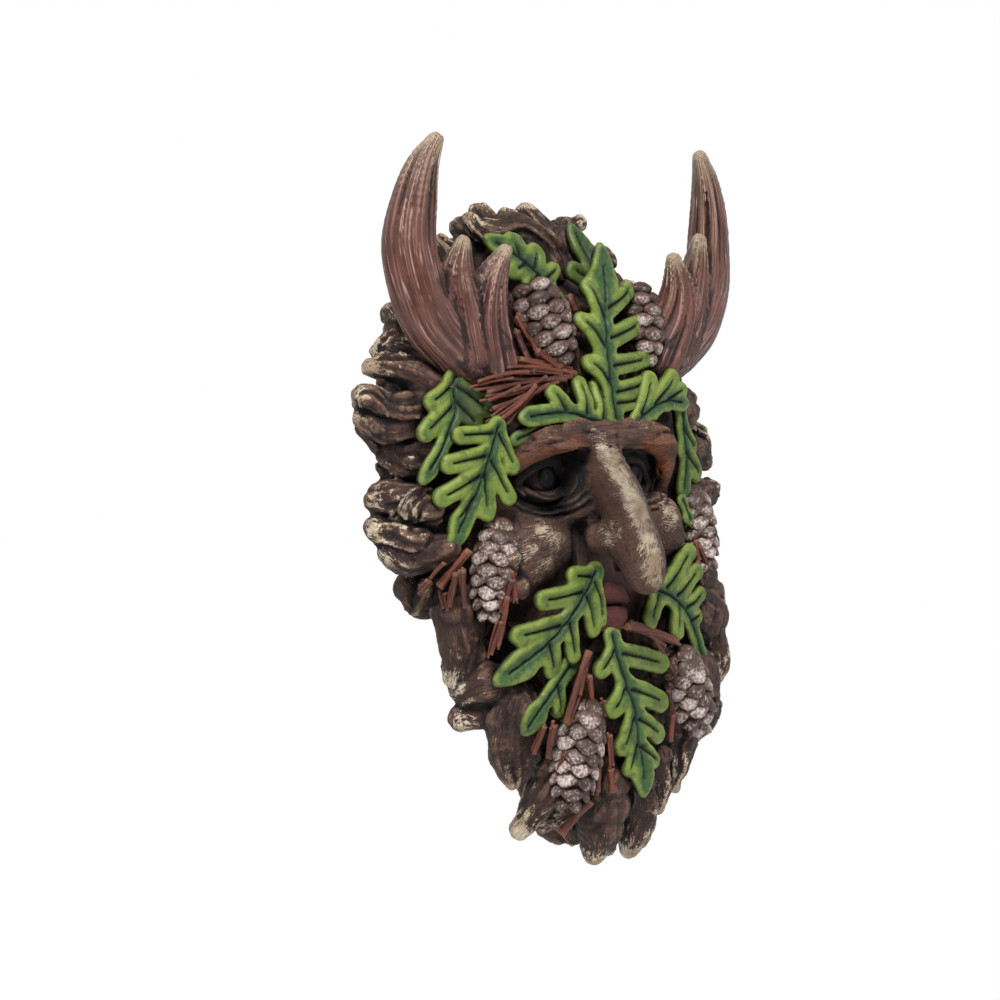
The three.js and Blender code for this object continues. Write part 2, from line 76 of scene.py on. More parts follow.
# Bark: each stroke starts at its free end.
BARK = [
    [(-67, 12, 62, 3), (-67, 16, 61, 4.2), (-64, 22, 54, 5.5)],
    [(-75, 13, 48, 3.6), (-71, 19, 50, 6), (-64, 27, 45, 7.5)],
    [(-81, 15, 42, 3.2), (-78, 19, 41, 4.6), (-72, 26, 38, 6), (-65, 30, 33, 7)],
    [(-87, 13, 29, 2.6), (-88, 17, 32, 3.4), (-86, 21, 31, 3.6), (-82, 25, 26, 4), (-78, 29, 25, 4.6),
     (-71, 29, 27, 5)],
    [(-86, 14, 23, 3.4), (-85, 18, 21, 4.4), (-83, 23, 18, 4.8), (-77, 27, 19, 5), (-72, 28, 21, 5)],
    [(-78, 7, 20, 4), (-75, 10, 15, 5)],
    [(-84, 16, 26, 3.6), (-80, 20, 24, 6), (-72, 26, 23, 8)],
    [(-72, 14, 10, 6), (-71, 22, 8, 7), (-68, 30, 6, 6)],
    [(-81, 12, -6, 4), (-78, 16, -7, 5.5), (-74, 22, -8, 6.5), (-70, 30, -11, 6)],
    [(-77, 23, -15, 3.2), (-77, 27, -11, 4), (-74, 31, -7, 3.5)],
    [(-83, 13, -18, 4.4), (-80, 18, -20, 5), (-75, 25, -23, 6)],
    [(-80, 17, -26, 5), (-76, 21, -29, 6.6), (-71, 27, -28, 6), (-66, 33, -26, 5)],
    [(-64, 8, -40, 6), (-61, 10, -47, 5), (-62, 17, -42, 6)],
    [(-54, 17, -75, 4), (-53, 20, -69, 6.5), (-54, 23, -60, 8), (-58, 25, -50, 8)],
    [(-50, 14, -80, 4), (-49, 20, -79, 6), (-46, 27, -78, 8)],
    [(-48, 13, -90, 4.6), (-45, 18, -89, 5.2), (-42, 25, -87, 5.5), (-34, 30, -84, 6)],
    [(-32, 19, -116, 3), (-36, 23, -109, 5.5), (-38, 26, -99, 8.5), (-37, 30, -87, 10)],
    [(-29, 17, -134, 3.4), (-26, 20, -130, 4.4), (-23, 25, -123, 5.5), (-21, 30, -116, 6)],
    [(-11, 10, -134, 3.2), (-8, 20, -131, 4.5), (-6, 28, -124, 5)],
    [(3, 25, -147, 3.6), (4, 27, -141, 7.5), (2, 30, -133, 9.5), (2, 33, -121, 10)],
    [(22, 24, -147, 4.2), (22, 26, -141, 6.5), (22, 28, -134, 7.5), (20, 30, -125, 8)],
    [(27, 27, -143, 3), (25, 30, -135, 4.2), (22, 33, -123, 5)],
    [(36, 26, -133, 3.4), (36, 28, -124, 4.5), (33, 31, -114, 5.5)],
    [(45, 27, -125, 3.4), (48, 28, -115, 5), (49, 30, -104, 6), (40, 33, -92, 8)],
    [(57, 27, -107, 4), (63, 28, -99, 5), (64, 28, -90, 7), (52, 33, -78, 9)],
    [(75, 26, -85, 3.5), (76, 27, -76, 5), (72, 28, -65, 7), (60, 33, -55, 9)],
    [(77, 20, 18, 3.5), (83, 21, 11, 4.5), (78, 23, 5, 6), (66, 28, 4, 8)],
    [(84, 24, -9, 3.6), (79, 26, -11, 5), (68, 30, -12, 7)],
    [(-42, 15, 89, 3.6), (-41, 20, 83, 5)],
    [(-32, 15, 95, 4), (-31, 20, 89, 5)],
    [(-20, 14, 101, 4), (-21, 18, 95, 5.5), (-23, 23, 87, 6)],
    [(-5, 14, 100, 3.6), (-9, 19, 94, 5)],
    [(4, 14, 103, 3.6), (6, 16, 98, 4.8), (8, 20, 92, 6)],
    [(29, 16, 98, 3.4), (20, 18, 95, 4.4), (9, 22, 90, 5.5)],
    [(-33, 23, 96, 3), (-31, 26, 93, 4.4), (-25, 28, 92, 4.8), (-16, 30, 93, 5.2), (-8, 31, 90, 5.2),
     (-3, 32, 84, 4.8), (-3, 34, 77, 4.2)],
    # The viewer's right, which the crown and cheeks hide from the left.
    [(42, 15, 86, 4), (36, 20, 80, 6), (28, 26, 70, 8)],
    [(55, 15, 73, 4), (52, 19, 67, 6.5), (42, 25, 60, 9)],
    [(63, 12, 62, 4), (58, 18, 57, 6.5), (48, 26, 52, 8)],
    [(70, 15, 50, 4.5), (65, 20, 46, 7), (54, 27, 42, 9)],
    [(75, 12, 39, 3.6), (70, 18, 37, 6), (60, 26, 33, 8)],
    [(78, 18, 29, 4.5), (72, 23, 25, 7), (60, 30, 20, 9)],
    [(79, 14, -20, 4), (74, 20, -21, 6.5), (64, 28, -22, 8)],
    [(80, 20, -31, 4.5), (74, 25, -30, 7), (63, 31, -30, 9)],
    [(77, 15, -42, 4), (71, 21, -40, 6.5), (60, 29, -40, 8)],
    [(79, 26, -53, 4.2), (73, 28, -50, 6.5), (62, 32, -46, 9)],
    [(66, 15, -70, 4), (60, 22, -66, 6.5), (50, 30, -62, 8)],
    [(52, 16, -92, 4), (47, 22, -88, 6.5), (38, 31, -82, 8)],
    [(37, 16, -112, 4), (33, 22, -106, 6.5), (27, 31, -98, 8)],
    [(21, 14, -128, 4), (18, 22, -122, 6.5), (14, 31, -112, 9)],
    [(47, 19, -110, 4), (42, 25, -103, 6), (36, 30, -92, 8)],
]

# The face. Pairs are mirrored on the right. A number before a stroke is how softly it blends in.
NOSE = [(-0.5, 48, 14, 6), (-2, 53.5, 3, 5), (-2, 61.5, -11, 6.5), (-3, 67.5, -25, 7), (-3, 71, -36, 7.3),
        (-2.5, 70.3, -43, 6.8)]
NOSE_MIDDLE = [(-1.5, 49, 9, 6), (-2.2, 55, -6, 6.2), (-2.3, 60.5, -19, 6.6), (-2, 65, -30, 6.6),
               (-2, 67, -38, 6.2)]
NOSE_BODY = [(-1, 44, 8, 6), (-1.5, 50, -8, 6.2), (-0.5, 56, -20, 5.6), (0, 60.5, -30, 5.2),
             (-0.5, 63, -37, 5)]
FACE = [
    (4.0, [(-6.5, 51, -27, 6), (-3.5, 56.5, -28.5, 6.4), (-2.5, 62, -31, 6.6)]),
    (4.0, [(4.5, 51, -27, 6), (1.5, 56.5, -28.5, 6.2), (-0.5, 62, -31, 6.4)]),
    (4.0, [(-20, 40, -27, 7.4), (-30, 40.5, -27, 9.4), (-39, 38, -28, 7.4)]),
    (6.0, [(-22, 38, -33, 6.5), (-32, 37, -36, 8.4), (-39, 35, -40, 7)]),
    (1.0, [(-45.5, 45, -32.5, 2.9), (-42, 38, -33, 3)]),
    (1.0, [(-42.5, 42.5, -42.2, 4.1), (-36, 36, -42, 4)]),
    (4.0, [(23, 42, -21, 8), (33, 42.6, -20, 9), (41, 39, -27, 7.4)]),
    (4.0, [(-4, 52, 11, 5.2), (-14, 51, 12.8, 5.4), (-24, 48.6, 10.4, 5.6), (-33, 45, 7, 5),
           (-39, 41, 2, 4)]),
    (4.0, [(3, 52, 11, 5.2), (15, 51.6, 12.6, 5.6), (28, 49, 10.4, 6), (37, 45.5, 5.4, 5), (42, 40, -2, 3.6),
           (43, 37, -7, 2.4)]),
]
FACE_PAIRS = [
    (6.0, [(-5.5, 40, 7, 5), (-8.5, 43, -6, 6), (-10.5, 44, -14, 6.2)]),
    (1.0, [(-12.5, 38, -2, 2), (-18, 42, 2.6, 2.2), (-26, 42, 2.2, 2.2), (-34, 37, -4, 1.8)]),
    (0.8, [(-13.5, 40, 3, 1), (-19, 43.5, 6.2, 1.2), (-27, 43, 5.4, 1.2), (-35, 38.5, -0.5, 1)]),
    (0.8, [(-12.5, 39, -6, 1.6), (-18, 41.5, -9.4, 1.9), (-27, 41.5, -9.8, 1.9), (-35, 37, -6, 1.5)]),
]
LIPS = [
    [(-13, 42, -51, 2), (0, 47.5, -48, 4.2), (13, 42, -51, 2)],
    [(-10, 43, -55.5, 2.2), (0, 47.5, -57.5, 4.6), (10, 43, -55.5, 2.2)],
]
# Eyes: their middles, where they look, and the middle of the rolls of skin on each side.
EYES = [(-22, 34.3, -3.4), (24, 34.3, -3.4)]
GAZE = (0, 1, 0.03)
EYE_CENTRE = (22.5, -3.4)

# Eye sockets and cheeks, on both sides: across, up, width, height and how far out.
MOUNDS = [(23, -3, 14, 11, -10), (28, -25, 15, 14, 5)]

# Soft patches of paint: strength, a point or a line of points, and width.
CREAM_SPOTS = [
    (0.78, (-32, 50, -22), 9), (0.72, (-39, 47, -30), 8), (0.74, (-25, 50, -27), 8),
    (0.68, (-31, 45, -36), 8), (0.6, (-22, 49, -34), 8), (0.85, (33, 49, -20), 9), (0.75, (37, 46, -15), 7),
    (0.6, (30, 46, -30), 8), (0.45, (-45.5, 47, -32), 4), (0.85, (-14, 60, -26), 9),
]
CREAM_LINES = [
    (0.72, [(-9.6, 58, 13), (-6.1, 58, 5.4), (-5, 59, -4)], 5.5),
    (0.5, [(-12, 57, 14), (-23, 55, 14.5), (-34, 51, 11)], 3.5),
    (0.5, [(14, 57, 14), (24, 54, 14), (36, 50, 12)], 3.5),
]
ORANGE_SPOTS = [(1.1, (27, 51, 7), 6)]
ORANGE_LINES = [
    (1, [(-36, 46, 3.5), (-26, 49.5, 6.5), (-18, 53, 8.5)], 2.9),
    (1.25, [(19, 53, 9.5), (27, 50.5, 7), (36, 46, 2), (38.6, 42, -2.5)], 2.9),
]
# Painted shade in the eye sockets, deepest at their inner corners by the nose.
SOCKET_SPOTS = [(0.45, (-23, 41, 0), 12), (0.45, (24, 41, 0), 12)]
SOCKET_LINES = [
    (1, [(-12, 42, 6), (-13, 42, 0), (-14, 41, -6)], 6),
    (1, [(13, 42, 6), (14, 42, 0), (15, 41, -6)], 6),
]
# Painted shade beside and down the left side of the nose, and in the fold beside its left wing.
NOSE_SHADE = [(0.5, (-11, 65, -37), 7), (0.5, (-11, 57, -34), 6)]
NOSE_SIDE_SHADE = [
    (0.3, [(-9, 50, -4), (-9.5, 57, -15), (-10, 62, -26)], 5),
    (0.8, [(-13.5, 46, -23), (-15, 45, -28), (-14.5, 43, -36)], 4),
]

# Grooves and holes cut into the bark and face, each with how softly it blends in.
CUTS = [
    (0.8, [(-6, 54.5, -20.6, 0.9), (-10, 50, -20.4, 1.5), (-12.8, 46, -23, 2), (-13.4, 43.5, -27, 2.6),
           (-13, 42.5, -33, 2.7), (-12.5, 42, -38, 2.2)]),
    (0.8, [(4.6, 54.5, -20.6, 0.9), (8.6, 50, -20.4, 1.5), (11.4, 46, -23, 2), (12, 43.5, -27, 2.6),
           (11.6, 42.5, -33, 2.7), (11, 42, -38, 2.2)]),
    (0.8, [(-37, 41.5, -3, 0.8), (-30, 44.5, 1.6, 1.4), (-21, 46, 4.8, 1.8), (-12, 46, 5.4, 1.8)]),
    (0.8, [(39, 41, -3, 0.8), (31, 44.5, 1.8, 1.4), (22, 46.5, 5, 1.8), (13, 46.5, 5.4, 1.8)]),
    (0.6, [(-6, 58.5, 19, 1), (-4, 59, 11, 1.2), (-4, 58.4, 4.5, 0.6)]),
    (0.6, [(4, 57.5, 19, 1.2), (1.4, 58.5, 12, 1.5), (1.5, 58.5, 6, 1)]),
    (0.6, [(-82.5, 15, 42.5, 1.2), (-80, 18, 41.6, 0.8)]),
    (0.6, [(-50, 13, -90.6, 1.2), (-47, 16.5, -89.8, 0.8)]),
    (0.6, [(-30.5, 16.5, -135.4, 1.1), (-28.5, 18.5, -133, 0.7)]),
    (0.8, [(-82, 21, -13, 1.6), (-78, 27, -17.5, 1.6), (-72, 34, -18, 1.2)]),
]

# Antlers, as seen from the front on the left. The right one is mirrored.
ANTLERS = [
    ("antler_left", 1, [
        [(-47, 34, 38, 8.6), (-59, 37, 46, 9.4), (-70, 38, 56, 10.2), (-75.5, 38, 70, 10.2),
         (-77.5, 38, 85, 9.4), (-76, 41, 100, 7.6), (-73, 44, 112, 5.6), (-68.5, 47, 121, 3)],
        [(-54, 38, 46, 10.2), (-59, 42, 60, 8.8), (-62.5, 46, 73, 6.2), (-62, 50, 83, 3)],
        [(-44, 38, 41, 10.2), (-49, 43, 55, 9.2), (-49, 48, 68, 6.8), (-43.5, 52, 80, 3)],
    ]),
    ("antler_right", -1, [
        [(-47, 34, 38, 8.6), (-59, 37, 46, 9.2), (-70, 38, 56, 9.4), (-77, 38, 70, 9),
         (-79, 39, 85, 8), (-77.5, 42, 100, 6.6), (-74, 45, 112, 5), (-69, 48, 121, 3)],
        [(-54, 38, 46, 10), (-60, 42, 60, 8.2), (-63, 46, 75, 5.8), (-61.5, 51, 87, 3)],
        [(-44, 38, 41, 10), (-49.5, 43, 55, 8.8), (-49.5, 48, 67, 6.4), (-45, 52, 79, 3)],
    ]),
]

# Oak leaves: midrib, half width at the stalk and tip, how much painted shade lies on it, and
# lobes. Where the shade is two numbers, the second is how far across its shaded side starts. A
# lobe starts at a share of the midrib and ends at a point; its last number is its half width.
LEAVES = [
    ("leaf_centre", [(5.7, 53, 13.9), (3.5, 54, 26.3), (2.1, 55, 35.7), (2.1, 55, 45.2),
                     (2.6, 54.5, 54.8), (4.6, 53.5, 63.3), (5.9, 52.5, 71.1), (7, 51, 83.2)],
     (4.4, 6.8), 0.1, [
        (0.2, -6.2, 50, 41.5, 3.7), (0.4, -7.2, 49, 58, 3.8), (0.58, -1.4, 48.5, 71, 3.5),
        (0.1, 25, 50, 25, 3.4), (0.16, 31, 49, 32, 3.6), (0.3, 30.5, 48.5, 41, 3.7),
        (0.46, 28.2, 48, 55, 3.8), (0.62, 24.4, 48, 69, 3.7)]),
    ("leaf_brow_left", [(2.1, 53, 14.7), (-8, 54, 17), (-18.1, 53, 19.9), (-28.5, 51, 19.9),
                        (-39, 49, 18.8)], (4, 4.2), 0.0, [
        (0.52, -25.5, 50, 30.4, 3.7), (0.3, -10.1, 50, 34.4, 3.5), (0.1, -1.2, 50, 33.5, 3.2)]),
    ("leaf_brow_under", [(-22, 48.5, 16), (-30, 47.5, 14.5), (-40.5, 44, 10.5)], (2.6, 3.2), 0.6, []),
    ("leaf_brow_right", [(15.6, 54, 15.9), (23, 53, 20), (36, 50, 24), (51.5, 46, 23.5)],
     (4, 3.8), 0.0, [
        (0.1, 28.8, 51, 35.5, 4.2), (0.4, 46, 47, 35.5, 4.2), (0.66, 51.5, 46, 30, 3.4)]),
    ("leaf_crown", [(-11.4, 44, 63), (-18.4, 43.5, 72.2), (-23.7, 42, 77.4), (-30, 40, 82.2),
                    (-38, 37, 87.5)], (4.4, 5), 0.3, [
        (0.2, -7.8, 42, 77, 3.4), (0.35, -17.1, 40, 85.5, 4.4), (0.6, -27.8, 37, 90, 4.2),
        (0.5, -31.5, 39, 73.5, 4.2), (0.28, -25.5, 42, 67, 4.2)]),
    ("leaf_top", [(9.6, 46, 64.7), (10.1, 44, 73.2), (8.1, 41, 81.7), (5.4, 37, 93.2)], (4.4, 5.6), 0.75, [
        (0.15, -3.5, 42, 77.3, 3.8), (0.5, 15.1, 40, 84.5, 3.6)]),
    ("leaf_temple_rear", [(-60.9, 38, 36.1), (-63.2, 39.5, 30.2), (-63.2, 40, 23.7), (-66.9, 40, 16.5),
                          (-71.9, 39, 7.5), (-79.1, 37, -2)], (4.2, 3.6), (0.85, -63), [
        (0.12, -77, 39, 24.6, 3.5), (0.34, -80.9, 39, 13.1, 3.8), (0.12, -44.7, 39, 20.6, 4.2),
        (0.3, -51.4, 39, 14.3, 4.4)]),
    ("leaf_temple_front", [(-48.4, 46, 16.3), (-51.2, 45, 9.1), (-54.1, 44, 1.9), (-57.6, 42, -6.6),
                           (-61.6, 40, -14.4), (-66.9, 35, -27.3)], (4.2, 4.6), 0.0, [
        (0.06, -68.5, 43, 13.3, 3.3), (0.28, -73.6, 41, 2.7, 3.7), (0.46, -75.3, 38, -10, 3.9),
        (0.66, -66.6, 37, -18.6, 2.8), (0.04, -40.5, 45, -1.5, 3.2), (0.3, -42.8, 44, -12.5, 3.3),
        (0.42, -53.5, 42, -18.2, 4)]),
    ("leaf_temple_right", [(48.4, 46, 20.9), (49.8, 45, 9.9), (52.1, 42, -0.9), (52, 39, -12.8)],
     (3.4, 3.8), 0.3, [
        (0.45, 62.3, 38, -6.8, 3.4), (0.2, 57.3, 42, 4.5, 2.6)]),
    ("leaf_cheek_right", [(48.8, 42, -14.2), (50.6, 42, -18.2), (52.2, 42, -23.3)], (2.6, 3.2), 0.2, []),
    ("leaf_moustache_left", [(-9.4, 50, -39.7), (-13.3, 51, -44.5), (-19.3, 50, -51.6), (-26.7, 47, -60.3),
                             (-34.8, 44, -67), (-42.5, 40, -72.2), (-50.5, 36.4, -77.2)], (4.4, 6.4), 0.1, [
        (0.06, -24.2, 50, -40.5, 3.8), (0.22, -37.3, 46, -49.4, 4), (0.46, -47.3, 42, -61.6, 4),
        (0.6, -27.8, 42, -78.4, 3.9), (0.42, -18.7, 45, -73.2, 3.2), (0.24, -9.5, 47, -64.3, 3.2),
        (0.08, -5.6, 48, -60.3, 3)]),
    ("leaf_moustache_right", [(25.3, 47, -48.4), (33.6, 47, -51.6), (43.7, 44, -58.3), (51.1, 41, -69.2),
                              (58.9, 37, -87)], (4.2, 3.6), 0.2, [
        (0.06, 17.2, 48, -62.6, 3.9), (0.35, 36.4, 45, -68.4, 3.6), (0.1, 51.8, 43, -32.5, 3.8),
        (0.28, 55.8, 42, -40.5, 3.6), (0.45, 58.4, 40, -50, 3.4), (0.6, 55.1, 40, -58.5, 3.2)]),
    ("leaf_beard_small", [(-19.5, 43, -73.7), (-27.2, 43, -80.8), (-34.8, 41, -89), (-40, 37, -96.8)],
     (4, 5.8), 0.2, [
        (0.3, -24.9, 40, -92.9, 3)]),
    ("leaf_beard", [(-2.2, 49, -64.3), (-1, 50, -73.5), (2.1, 50, -83.2), (6.2, 49, -92.9),
                    (7.9, 48, -104.5), (11.2, 46, -115), (12.3, 44.3, -124.6)], (4.2, 5.6), 0.1, [
        (0.12, 29.9, 45, -77.2, 4.3), (0.36, 28.8, 44, -92.4, 4.5), (0.54, 25, 44, -105, 4),
        (0.7, 22, 43, -115, 3.2), (0.08, -10.6, 47, -79.2, 3.7), (0.34, -5.1, 46, -94.8, 4.2),
        (0.52, 0.1, 45, -109.6, 4), (0.68, 3.6, 44, -118, 3)]),
]

# Pine cones: stalk, tip, radius, rows of scales and their kind. A kind of scale is the spacing,
# the least tilt, how much the tilt varies, and the shares of length and width, and the thickness.
PLUMP = (10.2, 0.1, 0.1, 0.62, 0.52, 2.6)
SLIM = (8.8, 0.42, 0.16, 0.92, 0.56, 1.7)
CONES = [
    ("cone_forehead_left", (-23, 42, 70), (-15, 47, 38), 11.5, 7, PLUMP),
    ("cone_forehead_right", (32, 42, 70), (30, 46, 38), 10.5, 7, PLUMP),
    ("cone_cheek_left", (-46, 40, -18), (-52, 36, -54), 9.5, 9, SLIM),
    ("cone_cheek_right", (59, 36, -8), (63, 36, -45), 9.5, 9, SLIM),
    ("cone_beard", (-12, 43, -88), (-21, 37, -127), 10.5, 9, SLIM),
    ("cone_beard_right", (40, 41, -72), (50, 39, -105), 10.5, 8, SLIM),
]

# Twigs: both ends and a radius. The thicker ones are each laid among two thinner slivers.
THICK_TWIG = 1.2
TWIGS = [
    (-11, 50, 35, -36, 47, 41, 1.5), (-13, 50, 34, -43, 46, 34, 1.2), (-16, 50, 33, -51, 44, 29, 1.4),
    (-19, 50, 36, -42, 46, 38, 1.1), (-25, 50, 31, -49, 44, 23, 1.3), (-31, 49, 31, -47, 46, 19, 1.3),
    (-26, 50, 34, -41, 47, 29, 1), (-34, 49, 36, -55, 44, 33, 1.1), (-38, 48, 31, -51, 44, 26, 1),
    (-30, 42, 59, -26, 47, 42, 2), (-32, 42, 52, -30, 46, 39, 1.8), (-27, 47, 44, -19, 50, 37, 2),
    (-31, 44, 45, -30, 48, 36, 1.5), (-14, 42, 64, -7, 46, 57, 1.6), (-12, 42, 65, -7, 47, 52, 1.3),
    (-5, 44, 65, -4, 46, 59, 2.2), (-62, 40, -28, -70, 31, -41, 2), (-68, 38, -36, -67, 32, -48, 1.7),
    (-66, 40, -35, -63, 36, -49, 1.5), (-72, 37, -32, -74, 31, -37, 1.2), (-73, 29, -38, -74, 25, -41, 2.2),
    (-68, 31, -43, -67, 30, -48, 1.4), (-48, 46, -37, -46, 45, -48, 1.3), (-48, 46, -40, -52, 43, -52, 1.5),
    (-50, 45, -46, -53, 41, -64, 1.4), (-52, 43, -55, -55, 39, -67, 1.3), (-14, 48, -69, -26, 45, -95, 1.9),
    (-16, 47, -75, -19, 46, -85, 1.7), (-14, 47, -78, -12, 45, -88, 1.6), (-34, 42, -95, -36, 37, -105, 1.5),
    (-29, 42, -95, -30, 38, -107, 1.9), (-10, 45, -107, -10, 42, -122, 1.9),
    (-5, 46, -101, -3, 44, -113, 1.5), (-4, 44, -114, -2, 42, -123, 1.9),
    (-12, 40, -125, -20, 31, -137, 2.4), (-21, 44, -98, -26, 40, -112, 1.6),
    (-6, 46, -88, -6, 45, -94, 1.4), (4, 50, -61, 35, 46, -69, 2), (18, 48, -65, 28, 46, -70, 1.4),
    (22, 47, -67, 36, 43, -82, 1.7), (29, 45, -87, 33, 43, -97, 1.4), (33, 43, -97, 31, 42, -107, 1.5),
    (54, 44, -32, 64, 40, -43, 1.3), (53, 43, -38, 62, 38, -54, 1.3), (52, 44, -30, 55, 42, -44, 1.2),
    (6, 50, -60, 18, 48, -63, 1.3), (-35, 45, 12, -30, 46, 14, 1.6),
    (-12, 49.5, 37, -40, 45, 42, 0.8), (-14, 50, 36, -47, 44, 37, 0.8), (-15, 50, 34, -49, 43, 31, 0.7),
    (-18, 50, 35, -46, 44.5, 36, 0.9), (-20, 50, 32, -54, 43, 26, 0.8), (-22, 50, 31, -45, 45, 23, 0.7),
    (-24, 49.5, 33, -56, 43, 30, 0.8), (-28, 49, 30, -50, 44, 20, 0.8), (-30, 48.5, 29, -44, 46, 17, 0.7),
    (-22, 49, 38, -50, 43, 40, 0.8), (-34, 47.5, 38, -56, 42, 37, 0.8), (-36, 48, 27, -53, 44, 18, 0.8),
    (-40, 47, 34, -58, 42, 31, 0.7), (-10, 46, 60, -5, 47, 50, 1.1), (-17, 48, 37, -27, 46, 45, 1.2),
]

lattice = np.random.default_rng(11).random((32, 32, 32)).astype(np.float32) * 2 - 1
CORNERS = [(i, j, k) for i in (0, 1) for j in (0, 1) for k in (0, 1)]


def noise(a, b, c):
    """Smooth noise from -1 to 1 whose grains are one unit apart."""
    whole = [np.floor(v).astype(np.int32) for v in (a, b, c)]
    part = [v - w for v, w in zip((a, b, c), whole)]
    part = [p * p * (3 - 2 * p) for p in part]
    total = 0
    for corner in CORNERS:
        weight = 1
        for p, side in zip(part, corner):
            weight = weight * (p if side else 1 - p)
        index = tuple((w + side) & 31 for w, side in zip(whole, corner))
        total = total + weight * lattice[index]
    return total


def line_through(points, count):
    """A smooth curve through points, as count samples of every column."""
    points = np.asarray(points, float)
    padded = np.vstack([2 * points[0] - points[1], points, 2 * points[-1] - points[-2]])
    places = np.linspace(0, len(points) - 1, count)
    index = np.minimum(places.astype(int), len(points) - 2)
    t = (places - index)[:, None]
    a, b, c, d = (padded[index + i] for i in range(4))
    return 0.5 * (2 * b + (c - a) * t + (2 * a - 5 * b + 4 * c - d) * t**2 + (3 * b - a - 3 * c + d) * t**3)


def soft_least(a, b, blend):
    """The lesser of two distances, rounded where they meet."""
    near = np.maximum(blend - np.abs(a - b), 0) / blend
    return np.minimum(a, b) - near * near * blend / 4


def soft_most(a, b, blend):
    return -soft_least(-a, -b, blend)


def ease(value, low, high):
    """A smooth rise from 0 at low to 1 at high."""
    t = np.clip((value - low) / (high - low), 0, 1)
    return t * t * (3 - 2 * t)


def between(grid, place):
    """Values between the points of a grid."""
    place = np.clip(place, 0, np.array(grid.shape[-3:]) - 1.001)
    whole = place.astype(int)
    part = place - whole
    total = 0
    for corner in CORNERS:
        weight = np.prod(np.where(corner, part, 1 - part), axis=1)
        total = total + weight * grid[(..., *(whole + corner).T)]
    return total


def ring_faces(start, rings, around):
    """Four-sided faces between rings of points that follow one another."""
    return [
        (a + i, a + (i + 1) % around, a + around + (i + 1) % around, a + around + i)
        for a in range(start, start + rings * around, around) for i in range(around)
    ]


def axes_along(a, b):
    """The length of a line, its heading, and the directions out of it and across it."""
    length = np.linalg.norm(b - a)
    axis = (b - a) / length
    front = np.array([0, 1, 0]) - axis * axis[1]
    front /= np.linalg.norm(front)
    return length, axis, front, np.cross(axis, front)


